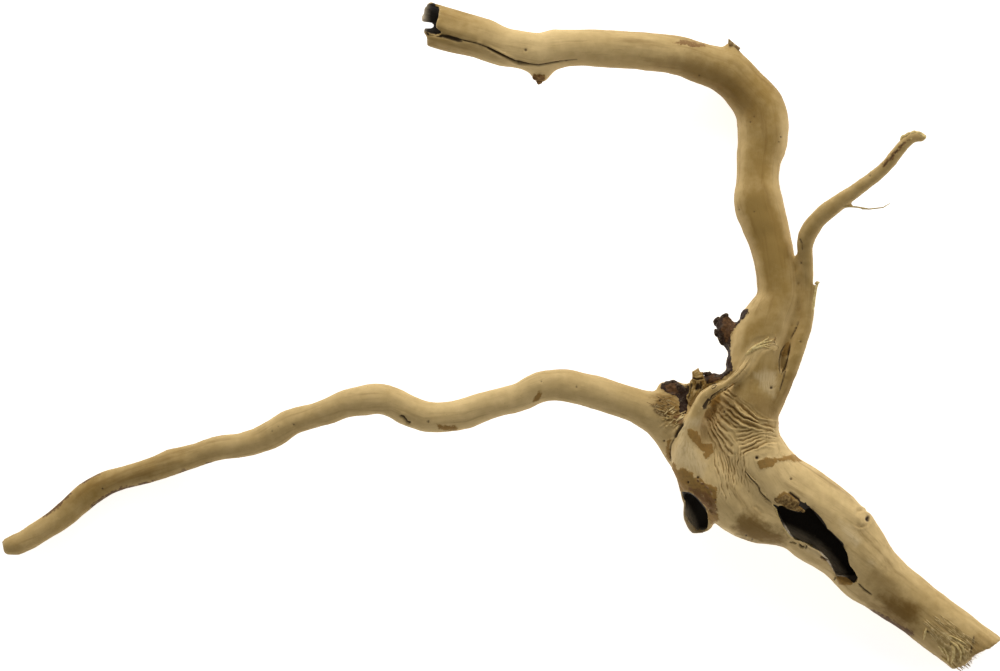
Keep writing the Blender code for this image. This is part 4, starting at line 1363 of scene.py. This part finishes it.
    def _relief(self, surface: Surface, seen_at: Array, upper: Array, marks: dict[str, Array]) -> Array:
        """How far each point moves along its normal, in millimetres."""
        places = surface.places
        blend = marks.pop("_blend")
        height = self.lump_height * Noise(3, 11.0, 3).sample(places)
        drawn = marks["grain"] * (0.08, 1.0, 1.0)
        height += self.flute_height * Noise(5, 2.6, 2).sample(drawn) * blend
        warp = np.stack([Noise(seed, 5.0, 2).sample(places) for seed in (11, 12)], axis=1)
        fray = np.stack([Noise(seed, 1.8, 1).sample(places) for seed in (13, 14)], axis=1)
        bent = seen_at + warp * 2.2 + fray * 0.7
        broken = np.clip(0.72 + 0.85 * Noise(15, 5.5, 2).sample(places), 0.12, 1.25)
        for index, fold in enumerate(FOLDS + CRACKS):
            loose = index < len(FOLDS)
            away, share = along_route(bent if loose else seen_at, fold.route, 12.0)
            away = away * PIXEL
            taper = ease_between(0.0, 0.18, share) * ease_between(1.0, 0.82, share)
            valley = np.exp(-((away / fold.width) ** 2))
            shoulder = np.exp(-(((away - 2.0 * fold.width) / (0.9 * fold.width)) ** 2))
            height += fold.depth * taper * upper * (fold.lip * shoulder - valley) * (broken if loose else 1.0)
        for seed, comb in enumerate(COMBED):
            height += self._ridges(bent, comb, seed) * upper
        for x, y, radius, rise in BUMPS:
            away = np.linalg.norm(seen_at - (x, y), axis=1) * PIXEL
            height += rise * np.exp(-((away / radius) ** 2)) * upper
        for x, y, radius in PITS:
            away = np.linalg.norm(seen_at - (x, y), axis=1) * PIXEL
            height -= min(1.4 * radius, 1.6) * np.exp(-((away / (radius * 1.15)) ** 2)) * upper
        shaggy = Noise(21, 2.4, 3).sample(places)
        for hue, rise, roughness in (
            (Hue.THIN_BARK, 0.2, 0.12), (Hue.RED_BARK, 0.12, 0.1), (Hue.DARK_BARK, 0.2, self.crumble), (Hue.GOLDEN, 0.1, 0.0),
        ):
            inside = ease_between(-1.0, 1.2, marks[hue.value])
            height += inside * (rise + roughness * shaggy)
        gold = ease_between(-1.0, 1.2, marks[Hue.GOLDEN.value])
        ribs = Noise(31, 1.3, 2).sample(places * (1.0, 0.22, 0.4))
        height += gold * 1.2 * ribs
        root, along, _ = Limb(AXES["strap"]).measure(places)
        height -= 0.6 * ease_between(1.6, 0.4, root) * ease_between(28.0, 44.0, along[:, 0])
        height += self._torn_end(places)
        return height

    def _sunk_end(self, places: Array) -> Array:
        """How far the strap-like root's end sinks into the limb under it, in millimetres."""
        root, along, _ = Limb(AXES["strap"]).measure(places)
        under, _, _ = Limb(AXES["arch"]).measure(places)
        return np.clip(under, 0.0, 3.0) * ease_between(3.2, 1.6, root) * ease_between(47.0, 56.0, along[:, 0])

    def _ridges(self, bent: Array, comb: Combed, seed: int) -> Array:
        """The fine ridges of one combed area, in millimetres."""
        inside = ease_between(-1.0, 6.0, patch_depth(bent, comb.outline, 14.0))
        turn = math.radians(comb.heading)
        along = (bent @ (math.cos(turn), math.sin(turn))) * PIXEL
        across = (bent @ (-math.sin(turn), math.cos(turn))) * PIXEL
        cells = np.stack([along / comb.stretch, across, np.full(len(bent), 5.0 * seed)], axis=1)
        crest = 1.0 - 2.6 * np.abs(Noise(60 + seed, comb.spacing, 1).sample(cells))
        swing = 0.65 + 0.35 * Noise(90 + seed, 4.0 * comb.spacing, 1).sample(cells)
        return comb.height * inside * swing * crest

    def _torn_end(self, places: Array) -> Array:
        """Coarse fibres at the trunk's torn end."""
        along = places @ np.array((0.8, -0.6, 0.0))
        share = ease_between(214.0, 226.0, along)
        across = places @ np.array((0.6, 0.8, 0.0))
        fibres = Noise(51, 1.1, 2).sample(np.stack([along * 0.12, across, places[:, 2]], axis=1))
        return 0.55 * share * fibres


@dataclass
class Surroundings:
    """The wood's surface as the camera sees it, for placing small pieces on it."""

    skin: bpy.types.Object
    tree: BVHTree = field(init=False)

    def __post_init__(self) -> None:
        """Prepares the skin for being looked up."""
        graph = bpy.context.evaluated_depsgraph_get()
        self.tree = BVHTree.FromObject(self.skin, graph)

    def top(self, x: float, y: float, otherwise: float) -> Vector:
        """The place in millimetres that is seen at a point of the picture.

        Args:
            x: Picture x.
            y: Picture y.
            otherwise: The height to use where no wood is seen.

        Returns:
            The place on the wood, or the place at the other height.
        """
        eye = Vector((0, 0, PICTURE.camera_height * MM))
        goal = PICTURE.locate(x, y, 0.0) * MM
        hit = self.tree.ray_cast(eye, (goal - eye).normalized())[0]
        return hit / MM if hit is not None else PICTURE.locate(x, y, otherwise)


    def seen(self, x: float, y: float) -> bool:
        """Whether wood is seen at a point of the picture."""
        eye = Vector((0, 0, PICTURE.camera_height * MM))
        return self.tree.ray_cast(eye, (PICTURE.locate(x, y, 0.0) * MM - eye).normalized())[0] is not None


@dataclass(frozen=True)
class Strand:
    """A loose fibre, splinter or lip that lies along a route in the picture.

    Attributes:
        route: Picture x and y, the height over the wood and the radius, both in millimetres.
        rest: The height used where no wood is seen.
        flat: Its height as a share of its width.
        jitter: How uneven it is, as a share of the radius.
    """

    route: list[tuple[float, float, float, float]]
    rest: float = 25.0
    flat: float = 1.0
    jitter: float = 0.15

    def add_to(self, sketch: MeshSketch, around: Surroundings, seed: int) -> None:
        """Adds the strand to a piece."""
        stations = []
        for x, y, lift, radius in self.route:
            place = around.top(x, y, self.rest)
            stations.append((place + Vector((0, 0, lift)), radius))
        sketch.tube(stations, 6, self.flat, self.jitter, seed)


@dataclass
class LooseStrands:
    """Several strands of one finish that make one piece.

    Attributes:
        name: The piece's name.
        strands: The strands.
    """

    name: str
    strands: list[Strand]

    def build(self, around: Surroundings, material: bpy.types.Material) -> bpy.types.Object:
        """Lays the strands on the wood."""
        sketch = MeshSketch()
        for seed, strand in enumerate(self.strands):
            strand.add_to(sketch, around, seed)
        return sketch.build(self.name, material)


PALE_STRANDS = LooseStrands(
    "pale_fibres",
    [
        Strand([(845, 206, 0, 0.42), (856, 207, 0, 0.34), (869, 209, 0, 0.3), (883, 207.5, 0, 0.26), (890.5, 203, 0, 0.12)], 38.0),
        Strand([(810.5, 314, -0.6, 0.6), (812.6, 306, -0.3, 0.8), (814.2, 297, 0, 0.75), (816, 288, 0, 0.65), (817.6, 282, 0, 0.5)], 30.0, 0.6, 0.25),
        Strand([(814.6, 283.6, 0, 0.3), (817, 283, 0.1, 0.75), (819.6, 282.4, 0, 0.3)], 30.2, 0.8, 0.3),
        Strand(
            [
                (744.5, 357.5, -0.9, 0.9), (748, 353.3, -0.2, 0.8), (752.7, 348.4, 0.1, 0.65), (757.3, 345.3, 0.15, 0.55),
                (762.6, 342.2, 0.2, 0.45), (766.5, 339.5, 0.3, 0.32), (769.1, 337.4, 0.3, 0.1),
            ],
            39.0, 0.8,
        ),
        Strand([(760, 344, 0.2, 0.4), (766.5, 341.8, 0.3, 0.36), (770, 341.2, 0.3, 0.3), (773.6, 339.3, 0.35, 0.1)], 39.0),
        Strand([(751, 351.5, -0.2, 0.6), (754, 348.8, 0.1, 0.55), (760.3, 346.4, 0.2, 0.5), (766.5, 344.1, 0.25, 0.36), (771.5, 343.6, 0.25, 0.12)], 39.0),
        Strand([(754, 350, -0.1, 0.5), (759, 347.6, 0.1, 0.42), (764, 346.4, 0.2, 0.34), (768, 347.8, 0.2, 0.24), (770.6, 348.4, 0.2, 0.1)], 38.5),
        Strand([(765, 340.5, 0.3, 0.3), (767.6, 339, 0.35, 0.22), (768.2, 336.4, 0.4, 0.08)], 39.5),
        Strand([(762, 345, 0.2, 0.3), (767, 344.9, 0.3, 0.22), (770, 346.2, 0.3, 0.1)], 39.5),
        Strand([(926.3, 628.4, 0.3, 0.2), (925.4, 632, 0.2, 0.45), (924.4, 636, 0.1, 0.5), (923.6, 639.4, 0, 0.2)], 12.0),
        Strand([(952.4, 644.4, 0.1, 0.5), (954, 650, 0.4, 0.75), (953.6, 656, 0.4, 0.75), (951.4, 663, 0.2, 0.4)], 12.0, 0.8, 0.3),
        Strand([(946, 634.4, 0, 0.2), (952, 636.6, 0.2, 0.36), (960, 640.6, 0.3, 0.36), (966, 644, 0.1, 0.2)], 12.0),
        Strand([(950, 640.6, 0.1, 0.3), (957, 646, 0.4, 0.5), (961, 653, 0.5, 0.5), (960.4, 661, 0.2, 0.3)], 12.0),
        Strand([(938.6, 645.6, 0, 0.3), (942, 649.6, 0.3, 0.5), (945.2, 654.8, 0.1, 0.3)], 12.0),
        Strand([(957, 641.6, 0.1, 0.3), (962.4, 647, 0.4, 0.45), (965, 655, 0.2, 0.3)], 12.0),
        Strand([(944, 648, 0.1, 0.3), (948.6, 656, 0.4, 0.5), (948, 663.6, 0.2, 0.3)], 12.0),
        Strand([(941, 656, 0.1, 0.3), (946, 660, 0.3, 0.45), (951, 666, 0.1, 0.3)], 12.0),
    ],
)
RIM_STRANDS = LooseStrands(
    "mouth_lip",
    [
        Strand([(772, 504, 0, 0.2), (776, 509.5, 0.1, 0.3), (778, 516, 0.1, 0.3), (785, 530, 0.1, 0.34), (790, 537, 0.1, 0.3), (795.5, 539, 0.1, 0.35), (804, 542.5, 0.1, 0.4), (812.5, 546, 0.1, 0.35)], 20.0, 0.8, 0.4),
    ],
)


@dataclass
class Crumbs:
    """Rough lumps of one finish that make one piece.

    Attributes:
        name: The piece's name.
        lumps: Picture x and y, lift, half sizes along, across and up, and heading in degrees.
        rough: How far the lumps' surfaces stray, in millimetres.
        rest: The height used where no wood is seen.
    """

    name: str
    lumps: list[tuple[float, float, float, float, float, float, float]]
    rough: float = 0.35
    rest: float = 25.0

    def build(self, around: Surroundings, material: bpy.types.Material) -> bpy.types.Object:
        """Lays the lumps on the wood."""
        sketch = MeshSketch()
        for seed, (x, y, lift, along, across, up, heading) in enumerate(self.lumps):
            centre = around.top(x, y, self.rest) + Vector((0, 0, lift))
            sketch.lump(centre, (along, across, up), math.radians(heading), self.rough, seed + 1)
        return sketch.build(self.name, material)


BARK_CRUMBS = Crumbs(
    "dark_bark",
    [
        (717, 322, -0.6, 2.0, 1.2, 1.0, 60), (724, 316.5, -0.6, 1.9, 1.0, 0.9, 20), (717, 333, -0.5, 1.7, 1.0, 0.9, -70),
        (721, 341, -0.5, 2.0, 0.9, 0.8, -60), (709, 374.5, -0.5, 2.0, 0.9, 0.9, -10), (717, 377, -0.5, 1.9, 0.8, 0.8, 0),
        (667, 384, -0.5, 1.9, 1.0, 0.8, 10), (673, 382.5, -0.6, 1.6, 1.1, 0.9, -20), (680, 388, -0.6, 1.8, 1.3, 1.0, -40),
        (683, 402, -0.6, 1.6, 1.1, 0.8, -70),
    ],
    0.45,
    24.0,
)
LOBE_CRUMBS = Crumbs(
    "lobe_bark",
    [
        (697, 480, -0.2, 1.0, 0.45, 0.35, -40), (702, 483, -0.2, 1.2, 0.4, 0.35, -35), (707, 487, -0.2, 1.1, 0.45, 0.4, -50),
        (711.5, 493, -0.2, 1.3, 0.4, 0.4, -65), (714.5, 500, -0.2, 1.2, 0.45, 0.4, -80), (715.5, 508, -0.1, 1.3, 0.5, 0.4, -90),
        (708, 502, -0.2, 1.5, 0.6, 0.35, -55), (702, 495, -0.2, 1.4, 0.55, 0.3, -45), (711, 511, -0.1, 1.2, 0.7, 0.5, -60),
        (694, 490, -0.2, 1.2, 0.4, 0.3, -20),
    ],
    0.3,
    24.0,
)
SPUR = LooseStrands(
    "spur", [Strand([(738, 51, -1.0, 1.6), (732.5, 46, -0.7, 1.3), (729.6, 42, -0.3, 0.8), (728.6, 38.6, 0, 0.15)], 15.0, 0.6)]
)
PLUG_CRUMBS = Crumbs(
    "mouth_plug",
    [
        (780, 499.5, -0.5, 2.4, 1.8, 0.9, -20), (786, 498.5, -0.4, 2.4, 1.9, 1.1, -30), (788, 504, -0.3, 2.6, 1.6, 1.0, -35),
        (794, 503, -0.3, 2.2, 1.9, 1.0, -40), (795, 508, -0.4, 2.4, 1.0, 0.9, -25), (801, 509.5, -0.4, 1.8, 0.8, 0.6, -30),
    ],
    0.4,
    20.0,
)


STUB_CRUMBS = Crumbs(
    "burl_stub",
    [(536, 77, -0.8, 1.6, 1.3, 1.6, 20), (541, 77, -0.8, 1.6, 1.2, 1.5, -30), (539.5, 81, -0.8, 1.3, 1.1, 1.2, 60)],
    0.4,
    24.0,
)


TIP_CRUMBS = Crumbs(
    "twig_tip",
    [
        (903, 138, -0.4, 1.6, 0.8, 0.6, 45), (908, 134.4, -0.4, 1.6, 0.7, 0.6, 20), (914, 132.8, -0.4, 1.7, 0.7, 0.6, 5),
        (920, 134, -0.5, 1.5, 0.8, 0.7, -15), (924, 137, -0.5, 1.1, 0.8, 0.7, -40), (918, 139, -0.6, 1.0, 0.6, 0.5, -70),
        (911, 138.6, -0.5, 1.0, 0.6, 0.5, 40),
    ],
    0.35,
    47.0,
)


@dataclass
class FibreMat:
    """Many fine fibres that lie on the wood along the grain.

    Attributes:
        name: The piece's name.
        outline: Where they start, as an outline in the picture.
        heading: Which way they run in the picture, in degrees down from the right.
        count: How many there are.
        length: The longest, in pixels.
        curl: How far they wander, in pixels.
        radius: Their radius, in millimetres.
        seed: Draws another mat.
    """

    name: str
    outline: Route
    heading: float
    count: int
    length: float
    curl: float
    radius: float = 0.2
    seed: int = 5

    def build(self, around: Surroundings, material: bpy.types.Material) -> bpy.types.Object:
        """Lays the fibres on the wood."""
        rng = np.random.default_rng(self.seed)
        low, high = np.min(self.outline, axis=0), np.max(self.outline, axis=0)
        sketch = MeshSketch()
        laid = 0
        while laid < self.count:
            start = rng.uniform(low, high)
            if patch_depth(start[None, :], self.outline)[0] <= 0.0:
                continue
            turn = math.radians(self.heading + rng.normal(0.0, 6.0))
            ahead = np.array((math.cos(turn), math.sin(turn)))
            aside = np.array((-ahead[1], ahead[0]))
            reach, swing, phase = self.length * rng.uniform(0.35, 1.0), self.curl * rng.uniform(-1.0, 1.0), rng.uniform(0.0, 2.0)
            stations = []
            for step in range(6):
                share = step / 5
                x, y = start + ahead * reach * share + aside * swing * math.sin(2.4 * share + phase)
                thick = self.radius * (0.35 + 0.65 * math.sin(math.pi * min(share + 0.15, 1.0)))
                stations.append((x, y, 0.05 + 0.25 * share * rng.uniform(0.0, 1.0), thick))
            if all(around.seen(x, y) for x, y, _, _ in stations[:5]):
                Strand(stations, 12.0).add_to(sketch, around, laid)
                laid += 1
        return sketch.build(self.name, material)


END_FIBRES = FibreMat(
    "end_fibres", [(920, 620), (938, 614), (960, 632), (972, 645), (966, 658), (950, 658), (930, 638)], 38.0, 80, 30.0, 1.6, 0.17
)
CURLED_FIBRES = FibreMat(
    "curled_fibres", [(944, 640), (960, 638), (970, 650), (966, 662), (954, 664), (944, 654)], 62.0, 42, 16.0, 5.0, 0.22, 9
)
PATCH_FIBRES = FibreMat(
    "patch_fibres", [(654, 400), (664, 395), (676, 400), (680, 412), (672, 420), (660, 416)], 200.0, 34, 13.0, 2.5, 0.17, 11
)
CHIP_FIBRES = FibreMat(
    "chip_fibres", [(658, 412), (670, 408), (682, 414), (684, 422), (677, 432), (668, 430), (660, 424)], -35.0, 26, 8.0, 1.6, 0.32, 13
)


@dataclass
class TornFibres:
    """Short stiff fibres on the trunk's broken face.

    Attributes:
        count: How many there are.
        centre: The middle of the face, in millimetres.
        direction: Which way they point.
        radius: Half the face's size, in millimetres.
    """

    count: int = 90
    centre: tuple[float, float, float] = (189.0, -127.0, 9.8)
    direction: tuple[float, float, float] = (0.8, -0.58, 0.05)
    radius: float = 9.4

    def build(self, material: bpy.types.Material) -> bpy.types.Object:
        """Sets the fibres in their seeded places."""
        rng = np.random.default_rng(7)
        sketch = MeshSketch()
        along = Vector(self.direction).normalized()
        side = along.cross(Vector((0, 0, 1))).normalized()
        up = side.cross(along)
        for index in range(self.count):
            angle, reach = rng.uniform(0, math.tau), self.radius * math.sqrt(rng.uniform(0.02, 1.0))
            root = Vector(self.centre) + side * math.cos(angle) * reach + up * math.sin(angle) * reach
            root.z = max(root.z, 0.8)
            lean = Vector(rng.uniform(-0.18, 0.18, 3))
            length, radius = rng.uniform(1.0, 3.2), rng.uniform(0.14, 0.34)
            stations = [
                (root - along * 2.5, radius),
                (root + (along + lean) * length * 0.5, radius * 0.8),
                (root + (along + lean * 2.0) * length, radius * 0.25),
            ]
            sketch.tube(stations, 5, 1.0, 0.2, index)
        return sketch.build("torn_fibres", material)


@dataclass(frozen=True)
class Studio:
    """A white table under soft light, and the camera straight above it.

    Attributes:
        table_size: Length of the table's side, in metres.
        table_white: The table's tone.
        table_glow: How much light the table gives off, as a lit table does.
        sky: Brightness of the light from all round.
        lamps: Where each soft lamp stands, in metres, and its power in watts.
    """

    table_size: float = 6.0
    table_white: float = 0.93
    table_glow: float = 0.72
    sky: float = 0.3
    lamps: tuple[tuple[float, float, float, float], ...] = ((-0.2, 1.6, 0.7, 22.0), (1.6, 0.3, 0.4, 7.0))

    def build(self) -> None:
        """Sets up table, light and camera."""
        self._table()
        self._light()
        self._camera()

    def _table(self) -> None:
        """A plain pale table top."""
        material = bpy.data.materials.new("white_table")
        material.use_nodes = True
        shader = material.node_tree.nodes["Principled BSDF"]
        shader.inputs["Base Color"].default_value = (self.table_white,) * 3 + (1.0,)
        shader.inputs["Roughness"].default_value = 0.9
        shader.inputs["Specular IOR Level"].default_value = 0.1
        shader.inputs["Emission Color"].default_value = (1.0, 1.0, 1.0, 1.0)
        shader.inputs["Emission Strength"].default_value = self.table_glow
        half = self.table_size / 2
        mesh = bpy.data.meshes.new("table")
        mesh.from_pydata([(-half, -half, 0), (half, -half, 0), (half, half, 0), (-half, half, 0)], [], [(0, 1, 2, 3)])
        mesh.materials.append(material)
        table = bpy.data.objects.new("table", mesh)
        bpy.context.scene.collection.objects.link(table)
        table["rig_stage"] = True

    def _light(self) -> None:
        """Even light from all round and large soft lamps."""
        world = bpy.data.worlds.new("studio")
        world.use_nodes = True
        backdrop = world.node_tree.nodes["Background"]
        backdrop.inputs["Color"].default_value = (1.0, 1.0, 1.0, 1.0)
        backdrop.inputs["Strength"].default_value = self.sky
        bpy.context.scene.world = world
        for *place, power in self.lamps:
            lamp = bpy.data.lights.new("soft_lamp", "AREA")
            lamp.energy = power
            lamp.shape = "DISK"
            lamp.size = 1.5
            holder = bpy.data.objects.new("soft_lamp", lamp)
            holder.location = place
            holder.rotation_euler = (-Vector(place)).to_track_quat("-Z", "Y").to_euler()
            bpy.context.scene.collection.objects.link(holder)
            holder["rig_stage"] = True

    def _camera(self) -> None:
        """The camera, level over the middle of the table."""
        lens = bpy.data.cameras.new("camera")
        lens.lens = PICTURE.lens
        lens.sensor_width = PICTURE.sensor
        camera = bpy.data.objects.new("camera", lens)
        camera.location = (0.0, 0.0, PICTURE.camera_height * MM)
        bpy.context.scene.collection.objects.link(camera)
        bpy.context.scene.camera = camera
        bpy.context.scene.view_settings.view_transform = "Standard"


GOLD = FlatFinish("golden_fibre", (0.24, 0.14, 0.05, 1.0), (0.5, 0.37, 0.17, 1.0))
# The crumbs' paler tone is grey dust that also serves as painted highlights.
BARK = FlatFinish("dark_bark_crumbs", (0.032, 0.015, 0.008, 1.0), (0.12, 0.088, 0.056, 1.0), 700.0, 0.8)
PLUG = FlatFinish("crumbly_wood", (0.12, 0.066, 0.018, 1.0), (0.34, 0.215, 0.075, 1.0), 800.0)
LOBE = FlatFinish("rosy_bark", (0.19, 0.1, 0.036, 1.0), (0.42, 0.27, 0.11, 1.0), 800.0)
STRAW = FlatFinish("straw_fibre", (0.44, 0.3, 0.11, 1.0), (0.78, 0.6, 0.29, 1.0), 500.0)
STUB = FlatFinish("brown_stub", (0.16, 0.08, 0.025, 1.0), (0.36, 0.2, 0.07, 1.0), 700.0)
PALE = FlatFinish("pale_fibre", (0.58, 0.42, 0.16, 1.0), (0.84, 0.66, 0.3, 1.0))


def clear_stage() -> None:
    """Removes what the file opened with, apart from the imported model."""
    for item in list(bpy.data.objects):
        if item.get("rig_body") is None and not item.name.startswith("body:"):
            bpy.data.objects.remove(item)


def corners() -> list[list[float]]:
    """The lowest and highest corner of what is shown, as plain lists."""
    return [list(corner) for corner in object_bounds()]


def main() -> None:
    """Builds the wood, its loose pieces and the studio."""
    logging.basicConfig(level=logging.INFO, format="%(message)s")
    clear_stage()
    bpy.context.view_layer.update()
    effects = Effects.build()
    skin = WoodSkin().build(frame["nodes"][NODE], PaleWood().material(effects))
    around = Surroundings(skin)
    pale, gold, straw = PALE.material(), GOLD.material(), STRAW.material()
    pieces = [
        skin,
        PALE_STRANDS.build(around, pale),
        RIM_STRANDS.build(around, pale),
        SPUR.build(around, gold),
        BARK_CRUMBS.build(around, BARK.material()),
        PLUG_CRUMBS.build(around, PLUG.material()),
        LOBE_CRUMBS.build(around, LOBE.material()),
        STUB_CRUMBS.build(around, STUB.material()),
        TIP_CRUMBS.build(around, pale),
        END_FIBRES.build(around, straw),
        CURLED_FIBRES.build(around, straw),
        PATCH_FIBRES.build(around, gold),
        CHIP_FIBRES.build(around, straw),
        TornFibres().build(gold),
    ]
    for piece in pieces:
        logging.info("%s: %d points, %d faces", piece.name, len(piece.data.vertices), len(piece.data.polygons))
    Studio().build()


if __name__ == "__main__":
    main()
